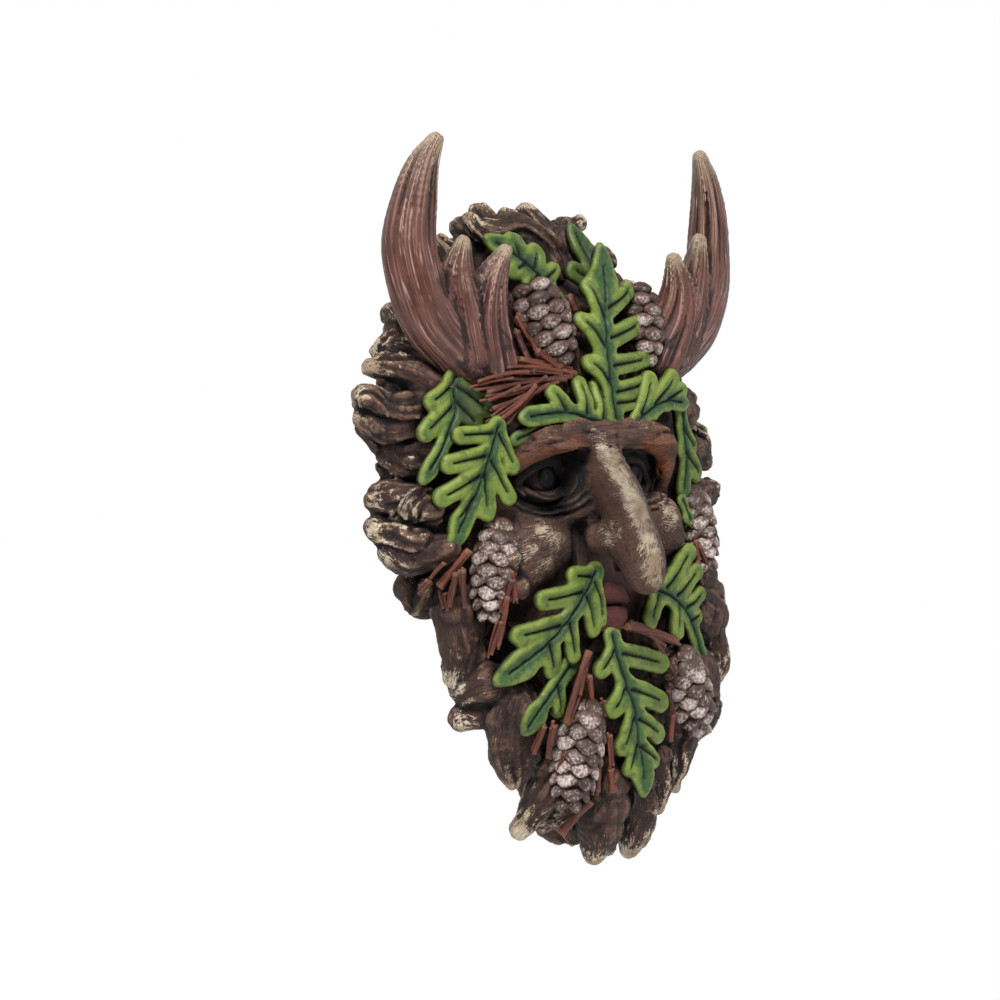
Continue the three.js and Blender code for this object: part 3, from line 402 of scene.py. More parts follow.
class Field:
    """Distances from a surface on a regular grid: negative inside."""

    def __init__(self, low, high, step):
        self.low = np.array(low, float)
        self.step = step
        self.size = np.ceil((np.array(high) - self.low) / step).astype(int) + 1
        self.value = np.full(self.size, FAR, np.float32)

    def window(self, low, high):
        """The part of the grid between two corners, and the places of its points."""
        first = np.clip(np.floor((low - self.low) / self.step).astype(int), 0, self.size - 1)
        last = np.clip(np.ceil((high - self.low) / self.step).astype(int) + 1, 1, self.size)
        slices = tuple(slice(i, j) for i, j in zip(first, last))
        axes = [
            (self.low[n] + self.step * np.arange(i, j)).astype(np.float32)
            for n, (i, j) in enumerate(zip(first, last))
        ]
        return slices, np.meshgrid(*axes, indexing="ij", sparse=True)

    def stroke(self, points, margin=8.0, grain=False):
        """Distances from a tapering stroke. The grain is a place round it and along it, in millimetres."""
        line = line_through(points, (len(points) - 1) * STROKE_CUTS + 1)
        reach_out = line[:, 3].max() + margin
        slices, grid = self.window(line[:, :3].min(0) - reach_out, line[:, :3].max(0) + reach_out)
        lengths = np.linalg.norm(np.diff(line[:, :3], axis=0), axis=1)
        heading = np.gradient(line[:, :3], axis=0)
        heading /= np.linalg.norm(heading, axis=1, keepdims=True)
        front = OUTWARD - heading * (heading @ OUTWARD)[:, None]
        front /= np.linalg.norm(front, axis=1, keepdims=True)
        frames = np.stack([front, np.cross(heading, front)], 1)
        best = np.full([axis.size for axis in grid], 99, np.float32)
        here = np.zeros((3, *best.shape), np.float32) if grain else None
        travelled = 0.0
        for a, b, length, first, last in zip(line[:-1], line[1:], lengths, frames[:-1], frames[1:]):
            along = b[:3] - a[:3]
            offset = [g - v for g, v in zip(grid, a[:3])]
            t = np.clip(sum(o * v for o, v in zip(offset, along)) / length**2, 0, 1)
            rest = [o - t * v for o, v in zip(offset, along)]
            size = np.sqrt(sum(r * r for r in rest)) + 1e-4
            distance = size - (a[3] + t * (b[3] - a[3]))
            better = distance < best
            best[better] = distance[better]
            if grain:
                turns = [
                    sum(r * (v + t * (w - v)) for r, v, w in zip(rest, first[i], last[i])) / size * 9
                    for i in (0, 1)
                ]
                for i, value in enumerate((*turns, travelled + t * length)):
                    here[i][better] = value[better]
            travelled += length
        return slices, best, here

    def limb(self, points, blend):
        slices, distance, _ = self.stroke(points)
        self.value[slices] = soft_least(self.value[slices], distance, blend)

    def cut(self, points, blend):
        slices, distance, _ = self.stroke(points, margin=3.0)
        self.value[slices] = soft_most(self.value[slices], -distance, blend)

    def sample(self, points):
        return between(self.value, (points - self.low) / self.step)

    def normals(self, points):
        """The directions in which the distance grows fastest."""
        shifts = np.eye(3) * self.step
        slope = np.stack([self.sample(points + s) - self.sample(points - s) for s in shifts], 1)
        return slope / np.maximum(np.linalg.norm(slope, axis=1, keepdims=True), 1e-6)

    def level(self, points):
        """How far ridges stand out and creases lie back from what is round them, -1 to 1."""
        total = 0
        for reach_out, share in ((2, 1.5), (6, 0.35)):
            value = np.clip(self.value, -1, 1)
            for axis in range(3):
                width = [(reach_out + 1, reach_out) if axis == i else (0, 0) for i in range(3)]
                sums = np.moveaxis(np.cumsum(np.pad(value, width, mode="edge"), axis), axis, 0)
                value = np.moveaxis(sums[2 * reach_out + 1:] - sums[:-2 * reach_out - 1], 0, axis)
                value /= 2 * reach_out + 1
            total = total + share * between(value, (points - self.low) / self.step)
        return total

    def surface(self):
        """One point in each cell that the surface crosses, and the four-sided faces between them."""
        inside = self.value < 0
        n = np.array(self.value.shape) - 1
        count = sum(
            inside[i:n[0] + i, j:n[1] + j, k:n[2] + k].astype(np.int8) for i, j, k in CORNERS
        )
        active = (count > 0) & (count < 8)
        cells = np.argwhere(active)
        number = np.full(active.shape, -1, np.int32)
        number[active] = np.arange(len(cells))
        values = {c: self.value[tuple((cells + c).T)] for c in CORNERS}
        total = np.zeros((len(cells), 3))
        hits = np.zeros(len(cells))
        for a in CORNERS:
            for axis in range(3):
                if a[axis]:
                    continue
                b = tuple(1 if i == axis else v for i, v in enumerate(a))
                crossing = (values[a] < 0) != (values[b] < 0)
                span = np.where(crossing, values[a] - values[b], 1)
                place = np.tile(np.array(a, float), (len(cells), 1))
                place[:, axis] = values[a] / span
                total += place * crossing[:, None]
                hits += crossing
        points = (cells + total / hits[:, None]) * self.step + self.low
        faces = []
        for axis in range(3):
            u, v = (axis + 1) % 3, (axis + 2) % 3
            start = [slice(1, -1)] * 3
            end = [slice(1, -1)] * 3
            start[axis], end[axis] = slice(0, -1), slice(1, None)
            first = inside[tuple(start)]
            edges = np.argwhere(first != inside[tuple(end)])
            leaving = first[tuple(edges.T)]
            edges[:, u] += 1
            edges[:, v] += 1

            def cell(back_u, back_v):
                at = edges.copy()
                at[:, u] -= back_u
                at[:, v] -= back_v
                return number[tuple(at.T)]

            ring = np.stack([cell(1, 1), cell(0, 1), cell(0, 0), cell(1, 0)], 1)
            ring[leaving] = ring[leaving][:, ::-1]
            faces.append(ring)
        return points, np.vstack(faces)


def placed(points):
    """From across, out and up in millimetres to the row frame in metres."""
    return np.stack([points[:, 0], -points[:, 1], points[:, 2]], 1) / 1000


def corner_normals(points, faces):
    """Smooth normals at the points, for pieces cut from one surface to meet without a seam."""
    faces = np.asarray(faces)
    across = placed(points[faces[:, 2]] - points[faces[:, 0]])
    along = placed(points[faces[:, 3]] - points[faces[:, 1]])
    normal = np.cross(across, along)
    total = np.zeros((len(points), 3))
    for corner in range(4):
        for axis in range(3):
            total[:, axis] += np.bincount(faces[:, corner], normal[:, axis], len(points))
    return total / np.maximum(np.linalg.norm(total, axis=1, keepdims=True), 1e-12)


def part_of(points, faces, keep, values):
    """The chosen faces with only the points that they use."""
    faces = faces[keep]
    used, numbers = np.unique(faces, return_inverse=True)
    return points[used], numbers.reshape(faces.shape), {key: value[used] for key, value in values.items()}


def add_object(name, data):
    made = bpy.data.objects.new(name, data)
    bpy.context.scene.collection.objects.link(made)
    return made


def piece(name, points, faces, material, normals=None, **attributes):
    mesh = bpy.data.meshes.new(name)
    mesh.from_pydata(placed(points).tolist(), [], [list(f) for f in faces])
    mesh.polygons.foreach_set("use_smooth", [True] * len(mesh.polygons))
    for key, values in attributes.items():
        values = np.asarray(values, np.float32)
        if values.ndim == 2:
            layer = mesh.attributes.new(key, "FLOAT_VECTOR", "POINT")
            layer.data.foreach_set("vector", values.ravel())
        else:
            layer = mesh.attributes.new(key, "FLOAT", "POINT")
            layer.data.foreach_set("value", values)
    mesh.validate()
    mesh.update()
    if normals is not None:
        mesh.normals_split_custom_set_from_vertices(normals.tolist())
    made = add_object(name, mesh)
    mesh.materials.append(material)
    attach(made, "root")
    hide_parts("green_man_mask")
    return made


# Paint
def seen(colour):
    """The paint that looks this colour, 0 to 255, in the studio's light."""
    return tuple((((v / 255) + 0.055) / 1.055) ** 2.4 / LIGHT for v in colour)


class Paint:
    """A painted resin finish made of nodes. Places are in millimetres, colours 0 to 255 as seen."""

    def __init__(self, name, roughness=0.5, coat=0.04, shine=0.22):
        self.material = bpy.data.materials.new(name)
        self.material.use_nodes = True
        self.tree = self.material.node_tree
        self.shader = self.tree.nodes["Principled BSDF"]
        self.shader.inputs["Roughness"].default_value = roughness
        self.shader.inputs["Coat Weight"].default_value = coat
        self.shader.inputs["Coat Roughness"].default_value = 0.3
        self.shader.inputs["Specular IOR Level"].default_value = shine
        scaled = self.add("ShaderNodeVectorMath", operation="SCALE")
        self.link(self.add("ShaderNodeTexCoord").outputs["Object"], scaled.inputs[0])
        scaled.inputs["Scale"].default_value = 1000
        self.place = scaled.outputs[0]
        self.colour = None

    def add(self, kind, **settings):
        node = self.tree.nodes.new(kind)
        for key, value in settings.items():
            setattr(node, key, value)
        return node

    def link(self, source, target):
        self.tree.links.new(source, target)

    def put(self, value, socket):
        if isinstance(value, (int, float)):
            socket.default_value = value
        elif isinstance(value, tuple):
            socket.default_value = (*seen(value), 1)
        else:
            self.link(value, socket)

    def attribute(self, name):
        return self.add("ShaderNodeAttribute", attribute_name=name).outputs["Fac"]

    def noise(self, grain, detail=4, rough=0.6, vector=None):
        """Noise whose grains are about that many millimetres across."""
        node = self.add("ShaderNodeTexNoise")
        self.link(vector or self.place, node.inputs["Vector"])
        node.inputs["Scale"].default_value = 1 / grain
        node.inputs["Detail"].default_value = detail
        node.inputs["Roughness"].default_value = rough
        return node.outputs["Fac"]

    def streaks(self, scale, detail, rough):
        """Noise drawn out along the grain, by how fast it changes round, out and along it."""
        node = self.add("ShaderNodeVectorMath", operation="MULTIPLY")
        self.link(self.add("ShaderNodeAttribute", attribute_name="grain").outputs["Vector"], node.inputs[0])
        node.inputs[1].default_value = scale
        return self.noise(1.0, detail, rough, node.outputs[0])

    def math(self, operation, first, *others):
        for other in others:
            node = self.add("ShaderNodeMath", operation=operation)
            self.put(first, node.inputs[0])
            self.put(other, node.inputs[1])
            first = node.outputs[0]
        return first

    def plus(self, *values):
        return self.math("ADD", *values)

    def times(self, *values):
        return self.math("MULTIPLY", *values)

    def spread(self, value, size):
        """A value from 0 to 1, moved to lie evenly round 0."""
        return self.times(self.math("SUBTRACT", value, 0.5), size)

    def step(self, value, low, high):
        node = self.add("ShaderNodeMapRange", interpolation_type="SMOOTHSTEP")
        self.put(value, node.inputs["Value"])
        node.inputs["From Min"].default_value = low
        node.inputs["From Max"].default_value = high
        return node.outputs["Result"]

    def thread(self, value, width):
        """Fine wandering lines, where a noise passes its middle."""
        gap = self.math("ABSOLUTE", self.math("SUBTRACT", value, 0.5), 0)
        return self.step(gap, width, width * 0.4)

    def mix(self, share, a, b):
        node = self.add("ShaderNodeMix", data_type="RGBA")
        self.put(share, node.inputs[0])
        self.put(a, node.inputs[6])
        self.put(b, node.inputs[7])
        return node.outputs[2]

    def lay(self, share, paint, most=1):
        """Lays paint over the colour so far, covering at most that share of it."""
        self.colour = self.mix(share if most == 1 else self.times(share, most), self.colour, paint)

    def finish(self, height, depth, roughness=None):
        self.put(self.colour, self.shader.inputs["Base Color"])
        bump = self.add("ShaderNodeBump")
        bump.inputs["Strength"].default_value = 1.0
        bump.inputs["Distance"].default_value = depth / 1000
        self.link(height, bump.inputs["Height"])
        self.link(bump.outputs[0], self.shader.inputs["Normal"])
        if roughness is not None:
            self.link(roughness, self.shader.inputs["Roughness"])
        return self.material


def wood_paint():
    p = Paint("painted_bark_and_face", roughness=0.5)
    broad = p.noise(16, 3)
    fine = p.noise(1.3, 5, 0.7)
    brush = p.streaks((1.3, 0.22, 0.35), 4, 0.65)
    scratch = p.streaks((2.6, 0.5, 0.8), 3, 0.7)
    face = p.attribute("face")
    mark = p.plus(p.times(brush, 0.4), p.times(scratch, 0.35), p.times(p.noise(0.45, 3, 0.7), 0.25), -0.5)
    level = p.plus(p.attribute("level"), p.times(mark, 0.9))
    bark = p.mix(p.step(broad, 0.35, 0.65), (40, 25, 21), (62, 39, 31))
    skin = p.mix(p.step(broad, 0.3, 0.7), (72, 49, 41), (96, 67, 55))
    p.colour = p.mix(p.times(face, 0.9), bark, skin)
    lifted = p.mix(face, (116, 86, 69), (124, 93, 76))
    p.lay(p.step(level, 0.08, 0.5), lifted, 0.75)
    p.lay(p.step(mark, 0.02, 0.14), lifted, 0.5)
    p.lay(p.step(mark, -0.02, -0.14), (38, 24, 21), 0.55)
    crack = p.thread(p.streaks((0.3, 0.3, 0.05), 2, 0.5), 0.02)
    p.lay(crack, (26, 17, 15), 0.7)
    p.lay(p.times(p.attribute("needles"), p.step(brush, 0.3, 0.7)), (80, 43, 35))
    p.lay(p.times(p.attribute("orange"), p.step(scratch, 0.44, 0.6)), (212, 120, 62))
    p.lay(p.attribute("lip"), p.mix(p.step(fine, 0.3, 0.7), (66, 28, 28), (100, 47, 44)))
    # Near black where the surface is closed in and in the creases: partly dark wash, partly painted shade.
    p.lay(p.step(p.plus(p.attribute("hollow"), p.spread(fine, 0.6)), 0.3, 0.8), (23, 15, 14))
    p.lay(p.step(level, -0.02, -0.26), (20, 13, 13), 0.9)
    bare = p.times(p.attribute("level"), p.math("SUBTRACT", 1.0, p.times(face, 0.85)), 0.75)
    patch = p.spread(p.noise(4.5, 3, 0.6), 0.9)
    cream = p.step(p.plus(p.attribute("cream"), bare, patch, p.times(mark, 3.2)), 0.6, 0.86)
    p.lay(cream, p.mix(p.step(broad, 0.4, 0.6), (168, 144, 119), (214, 198, 173)), 0.92)
    height = p.plus(p.times(scratch, 0.9), p.times(brush, 0.7), p.times(crack, -0.35))
    return p.finish(height, 0.8, p.step(fine, -0.9, 1.3))


def antler_paint():
    p = Paint("painted_antler", roughness=0.42)
    streak = p.streaks((0.7, 0.7, 0.02), 3, 0.55)
    hair = p.streaks((2.0, 2.0, 0.035), 3, 0.6)
    strand = p.step(hair, 0.42, 0.62)
    broad = p.noise(14, 3)
    tip = p.attribute("tip")
    low = p.mix(p.step(broad, 0.35, 0.65), (74, 43, 36), (98, 60, 50))
    p.colour = p.mix(tip, low, (84, 58, 49))
    p.lay(p.step(streak, 0.52, 0.66), p.mix(tip, (122, 86, 78), (132, 102, 86)))
    ridge = p.times(p.step(p.attribute("crest"), 0.3, 0.85), strand)
    p.lay(ridge, p.mix(tip, (176, 140, 128), (198, 176, 150)), 0.68)
    hairline = p.thread(p.streaks((0.34, 0.34, 0.012), 2, 0.5), 0.022)
    hairline = p.times(hairline, p.step(p.noise(9, 2), 0.42, 0.6))
    p.lay(hairline, p.mix(tip, (172, 134, 122), (206, 188, 162)), 0.7)
    p.lay(p.times(p.attribute("end"), strand), (204, 184, 154), 0.8)
    p.lay(p.step(streak, 0.42, 0.3), (38, 24, 22))
    # Dark in the grooves, where the surface is closed in and where the tines join: partly dark wash, partly
    # painted shade.
    groove = p.times(p.attribute("hollow"), p.step(hair, 0.2, 0.6))
    p.lay(p.step(groove, 0.25, 0.7), (34, 21, 19))
    return p.finish(p.plus(streak, p.times(hair, 0.6)), 0.5, p.step(broad, -0.3, 1.5))


def leaf_paint():
    p = Paint("painted_leaf", roughness=0.38, coat=0.05)
    fine = p.noise(1.1, 4, 0.65)
    broad = p.noise(8, 3)
    edge, vein = p.attribute("edge"), p.attribute("vein")
    middle = p.mix(p.step(broad, 0.35, 0.65), (40, 70, 36), (58, 90, 44))
    lobe = p.mix(p.step(broad, 0.3, 0.7), (78, 101, 37), (106, 124, 46))
    from_rib = p.plus(p.attribute("rib"), p.spread(p.noise(2.6, 3), 8))
    p.colour = p.mix(p.step(from_rib, 1.2, 4.6), middle, lobe)
    rim = p.plus(edge, p.spread(fine, 2.4))
    p.lay(p.step(rim, 2.3, 1.0), (134, 148, 62), 0.5)
    p.lay(p.step(p.noise(5, 4, 0.6), 0.52, 0.66), (36, 54, 32), 0.55)
    p.lay(p.times(p.step(p.noise(0.9, 4, 0.7), 0.6, 0.68), p.step(rim, 3.2, 1.2)), (176, 186, 116), 0.5)
    # Painted shade: dark green over the whole leaf or over its shaded side.
    p.lay(p.attribute("shade"), (34, 50, 29), 0.8)
    p.lay(p.step(p.plus(vein, p.spread(fine, 2.6)), 1.5, 0.2), (30, 38, 32), 0.6)
    p.lay(p.step(vein, 0.55, 0.25), (18, 19, 21))
    # The leaf's outline, sides and underside are dark: partly dark wash, partly painted shade.
    p.lay(p.step(edge, 0.5, -0.2), (24, 34, 18))
    return p.finish(fine, 0.25, p.math("MAXIMUM", p.step(fine, -0.6, 1.6), p.step(vein, 1.4, 0.6)))


def cone_paint():
    p = Paint("painted_cone", roughness=0.36, coat=0.12)
    fine = p.noise(1.1, 4, 0.65)
    rise, tint = p.attribute("rise"), p.attribute("tint")
    p.colour = p.mix(tint, (54, 36, 30), (98, 71, 59))
    bare = p.plus(rise, p.spread(fine, 2.2), p.spread(tint, 0.5))
    p.lay(p.step(bare, 0.4, 1.1), (204, 191, 185), 0.85)
    # Painted shade: the core and the bases and undersides of the scales dark.
    p.lay(p.step(rise, 0.2, -0.3), (28, 19, 17))
    return p.finish(fine, 0.25, p.step(fine, -0.5, 1.5))


def twig_paint():
    p = Paint("painted_twig", roughness=0.48)
    streak = p.streaks((1.2, 1.2, 0.12), 4, 0.6)
    p.colour = p.mix(p.attribute("tint"), (62, 31, 24), (112, 58, 41))
    p.lay(p.step(streak, 0.47, 0.34), (34, 20, 18))
    p.lay(p.step(streak, 0.56, 0.72), (156, 99, 73), 0.55)
    p.lay(p.attribute("end"), (140, 100, 78), 0.5)
    return p.finish(streak, 0.3)


def eye_paint():
    p = Paint("painted_eye", roughness=0.42, coat=0.0, shine=0.1)
    fine = p.noise(0.8, 3)
    angle = p.attribute("angle")
    p.colour = p.mix(p.step(angle, 0.62, 0.5), (40, 29, 27), (17, 14, 15))
    p.lay(p.step(angle, 0.3, 0.22), (14, 13, 15))
    p.lay(p.step(fine, 0.5, 0.7), (52, 40, 36), 0.4)
    return p.finish(fine, 0.1)


WOOD, HORN, LEAF, SCALE, TWIG, EYE = (
    wood_paint(), antler_paint(), leaf_paint(), cone_paint(), twig_paint(), eye_paint()
)


# Bark and face
def backing_reach():
    """How far the edge of the mask lies from its middle, at each bearing."""
    corners = np.array([(x, z - FACE_CENTRE) for x, z in OUTLINE], float)
    loop = np.vstack([corners[-2:], corners, corners[:3]])
    samples = line_through(loop, len(loop) * 20)
    bearing = np.arctan2(samples[:, 1], samples[:, 0])
    distance = np.hypot(samples[:, 0], samples[:, 1])
    order = np.argsort(bearing)
    bearing, distance = bearing[order], distance[order]
    wrapped = np.concatenate([bearing - 2 * math.pi, bearing, bearing + 2 * math.pi])
    return lambda angle: np.interp(angle, wrapped, np.tile(distance, 3))


reach = backing_reach()


def relief(across, up):
    """How far out the dome of the mask stands."""
    bearing = np.arctan2(up - FACE_CENTRE, across)
    share = np.minimum(np.hypot(across, up - FACE_CENTRE) / reach(bearing), 1)
    heights, outs = np.array(MIDDLE[::-1]).T
    rise = np.interp(up, heights, outs) - BARK_EDGE
    depth = BARK_EDGE + rise * (1 - share**3.2) ** 0.6
    for place, height, wide, tall, raised in MOUNDS:
        gap = ((np.abs(across) - place) / wide) ** 2 + ((up - height) / tall) ** 2
        depth = depth + raised * np.exp(-gap)
    return depth


def face_share(across, up):
    """1 on the skin of the face, 0 on the bark and under the leaves round it."""
    oval = ((across / SKIN_WIDTH) ** 2 + ((up - SKIN_MIDDLE) / SKIN_HEIGHT) ** 2) ** 0.5
    return 1 - ease(oval, 0.88, 1.04)


def eye_rolls(x, z):
    """How far the skin rises in rolls round the eyes, how dark their creases are, and the distance."""
    aside, above = (np.abs(x) - EYE_CENTRE[0]) / 1.2, z - EYE_CENTRE[1]
    ring = np.hypot(aside, above)
    wave = np.abs(np.sin((ring - 7) * math.pi / 2.5))
    below = ease(-above, -1, 4)
    inner = 0.55 * ease(-aside, 3, 7) * ease(above, 14, 6)
    mask = np.maximum(below, inner) * ease(ring, 6.2, 7)
    roll = 1.3 * (wave - 0.5) * ease(ring, 15.2, 14.4)
    dent = 0.6 * below * ease(ring, 16.6, 14.6) * ease(ring, 13, 14.4)
    return mask * (roll - dent), mask * ease(wave, 0.55, 0.1) * ease(ring, 15.6, 14.8), ring


def carve_body():
    body = Field(*MASK_BOX, STEP)
    _, (x, out, z) = body.window(body.low, body.low + body.size * STEP)
    flat_x, flat_z = x[:, 0, :], z[:, 0, :]
    bearing = np.arctan2(flat_z - FACE_CENTRE, flat_x)
    distance = np.hypot(flat_x, flat_z - FACE_CENTRE)
    rim = reach(bearing)
    rise = relief(flat_x + 0 * flat_z, flat_z + 0 * flat_x)
    slope = np.hypot(*np.gradient(rise, STEP))
    lean = 1 / np.sqrt(1 + np.minimum(slope, 3) ** 2)
    top = (out - rise[:, None, :]) * lean[:, None, :]
    dome = soft_most(top, (distance - rim)[:, None, :] + 0 * out, 3)
    plate_height = 20 + 3 * noise(flat_x / 13, flat_z / 13, 0 * flat_x + 3.3)
    side = distance[:, None, :] - rim[:, None, :] * (0.89 + 0.11 * ease(out, 0, 14))
    plate = soft_most(out - plate_height[:, None, :], side, 6)
    body.value = soft_least(dome, plate, 5).astype(np.float32)
    warp = 2.4 * noise(x / 12, out / 12, z / 12)
    swirl = 4 * noise(x / 10 + 5, out / 10, z / 10)
    grain = np.stack([bearing[:, None, :] * 60 + warp, out + 0 * warp, distance[:, None, :] + swirl])
    for number, line in enumerate(BARK):
        slices, limb, here = body.stroke(line, grain=True)
        nearer = limb < body.value[slices]
        part = grain[(slice(None), *slices)]
        part[:, nearer] = here[:, nearer]
        part[0][nearer] += 23 * number + 300
        body.value[slices] = soft_least(body.value[slices], limb, 3)
    for line in (NOSE_BODY, NOSE_MIDDLE, NOSE):
        body.limb(line, 6)
    for blend, line in FACE:
        body.limb(line, blend)
    for blend, line in FACE_PAIRS:
        body.limb(line, blend)
        body.limb([(-px, po, pz, pr) for px, po, pz, pr in line], blend)
    for line in LIPS:
        body.limb(line, 1.2)
    for blend, line in CUTS:
        body.cut(line, blend)

    # Folds, wrinkles and grit, in the band near the surface.
    band = np.nonzero(np.abs(body.value) < 3.2)
    bx, bo, bz = ((body.low[i] + STEP * band[i]).astype(np.float32) for i in range(3))
    around, turn, along = (g[band].astype(np.float32) for g in grain)
    ends = 0.25 + 0.75 * ease(along, 0, 10)
    around, turn, along = around + warp[band], turn + swirl[band], along + swirl[band]
    barky = 1 - face_share(bx, bz)
    folds = 2 * np.abs(noise(around / 7.5, turn / 7.5, along / 26)) - 0.45
    creases = 2 * np.abs(noise(around / 3 + 9, turn / 3, along / 16)) - 0.45
    lumps = 2 * np.abs(noise(bx / 10, bo / 10, bz / 10)) - 0.4
    grit = noise(bx / 1.6, bo / 1.6, bz / 1.6)
    body.value[band] -= barky * (ends * (1.5 * folds + 0.55 * creases) + 1.1 * lumps + 0.25 * grit)
    strokes = 2 * np.abs(noise(bx / 16 + 0.1 * warp[band], bo / 3.4, bz / 2.6)) - 0.4
    body.value[band] -= (1 - barky) * (0.1 * grit + 1.2 * strokes * ease(bz, 3, 7) * ease(np.abs(bx), 6, 12))

    # Rolls of skin round the eyes.
    height, _, _ = eye_rolls(bx, bz)
    body.value[band] -= (1 - barky) * ease(bo, 26, 32) * ease(bo, 53, 49) * height
    # Wrinkles across the bridge of the nose and between the brows.
    bridge = np.exp(-((bx + 1.5) / 6) ** 2) * ease(bo, 50, 54) * ease(bz, -8, -2) * ease(bz, 22, 17)
    body.value[band] += 0.5 * bridge * (1 - np.abs(np.sin(bz * math.pi / 3.6 + 0.4 * warp[band])))
    body.value = np.maximum(body.value, -out).astype(np.float32)
    return body, grain


def spot(points, centre, size):
    """A soft round patch of paint."""
    return np.exp(-(((points - np.array(centre)) ** 2).sum(1)) / size**2)


def near_line(points, line, size):
    """A soft patch of paint along a line."""
    line = line_through(line, 24)[:, :3]
    gap = np.min([((points - c) ** 2).sum(1) for c in line], axis=0)
    return np.exp(-gap / size**2)


def patches(points, spots, lines=()):
    """The strongest of several patches of paint at each point."""
    strongest = np.zeros(len(points))
    for patch, places in ((spot, spots), (near_line, lines)):
        for amount, where, size in places:
            strongest = np.maximum(strongest, amount * patch(points, where, size))
    return strongest


def make_body():
    body, grain = carve_body()
    points, faces = body.surface()
    normals = body.normals(points)
    level = body.level(points)
    # Darker where the surface is closed in, as ambient occlusion would make it: partly the mask's dark wash,
    # partly painted shade.
    hollow = 0.9 * np.clip(1 - body.sample(points + 6.5 * normals) / 6.5, 0, 1)
    x, out, z = points.T
    face = face_share(x, z) * ease(out, 26, 34)
    hollow *= 1 - 0.45 * face
    grain = between(grain, (points - body.low) / STEP).T
    brow = face_share(x, z) * ease(z, 0, 7)
    grain[:, 0] += brow * (2 * z + out - grain[:, 0])
    grain[:, 2] += brow * (x - grain[:, 2])
    tips = [(share, line[i][:3], 8) for line in BARK for i, share in ((0, 0.95), (1, 0.7))]
    cream = patches(points, tips)
    # The cream on the bark tips is dry-brushed paint; it is made stronger on the sides that face out and to
    # the left, which is a painted highlight.
    cream *= ease(out, 8, 16) * np.clip(0.8 + 0.35 * normals @ (-0.4, 0.9, 0), 0.4, 1)
    cream *= 1 - 0.35 * ease(z, 70, 85)
    nose_front = [(px - 3, po + r, pz) for px, po, pz, r in NOSE[1:]]
    # The cream down the front of the nose is dry-brushed paint, made thinner on the nose's left side as
    # painted shade.
    side = 0.45 + 0.55 * ease(x, -12, -7)
    cream = np.maximum(cream, 0.88 * side * near_line(points, nose_front, 7.8))
    cream = np.maximum(cream, patches(points, CREAM_SPOTS, CREAM_LINES))
    orange = np.clip(patches(points, ORANGE_SPOTS, ORANGE_LINES), 0, 1)
    lip_fronts = [(1, [(px, po + r, pz) for px, po, pz, r in line], 5) for line in LIPS]
    lip = ease(patches(points, (), lip_fronts), 0.25, 0.6)
    needles = spot(points * (1, 0.3, 1), (-34, 0.3 * 46, 30), 20)
    socket = patches(points, SOCKET_SPOTS, SOCKET_LINES)
    _, lines, ring = eye_rolls(x, z)
    bag = 0.42 * ease(ring, 15, 13) * ease(out, 54, 50)
    # Painted shade beside and down the left side of the nose, and in the fold beside its left wing.
    hollow += patches(points, NOSE_SHADE)
    for crease in NOSE_SIDE_SHADE:
        hollow += patches(points, (), [crease])
    # Painted shade in the eye sockets, in the creases of the rolls round the eyes and under the eye bags.
    shadow = 0.7 * socket + (0.6 * lines + bag) * face * ease(out, 53, 49)
    hollow = np.clip(hollow + shadow * (1 - orange), 0, 1)
    values = dict(
        normals=corner_normals(points, faces), level=level, hollow=hollow, face=face, cream=cream,
        orange=orange, lip=lip, needles=needles, grain=grain,
    )
    flat = (out < 0.02)[faces].all(1)
    middle = points[faces].mean(1)
    skin = (face_share(middle[:, 0], middle[:, 2]) > 0.5) & (middle[:, 1] > 20) & ~flat
    bark, left, low = ~skin & ~flat, middle[:, 0] < 0, middle[:, 2] < LOW_BARK
    groups = {
        "face": skin,
        "bark_left": bark & left & ~low,
        "bark_right": bark & ~left & ~low,
        "bark_low": bark & low,
    }
    for name, keep in groups.items():
        part_points, part_faces, part_values = part_of(points, faces, keep, values)
        piece(name, part_points, part_faces, WOOD, **part_values)

    # The flat back that lies on the wall is one face.
    pairs = set()
    for face_line in faces[flat].tolist():
        for a, b in zip(face_line, face_line[1:] + face_line[:1]):
            pairs.add((a, b))
    edge = {a: b for a, b in pairs if (b, a) not in pairs}
    start = min(edge, key=lambda i: points[i, 2])
    loop, at = [start], edge[start]
    while at != start:
        loop.append(at)
        at = edge[at]
    count = len(loop)
    piece("back_plate", points[loop], [tuple(range(count))], WOOD, hollow=np.zeros(count))


make_body()


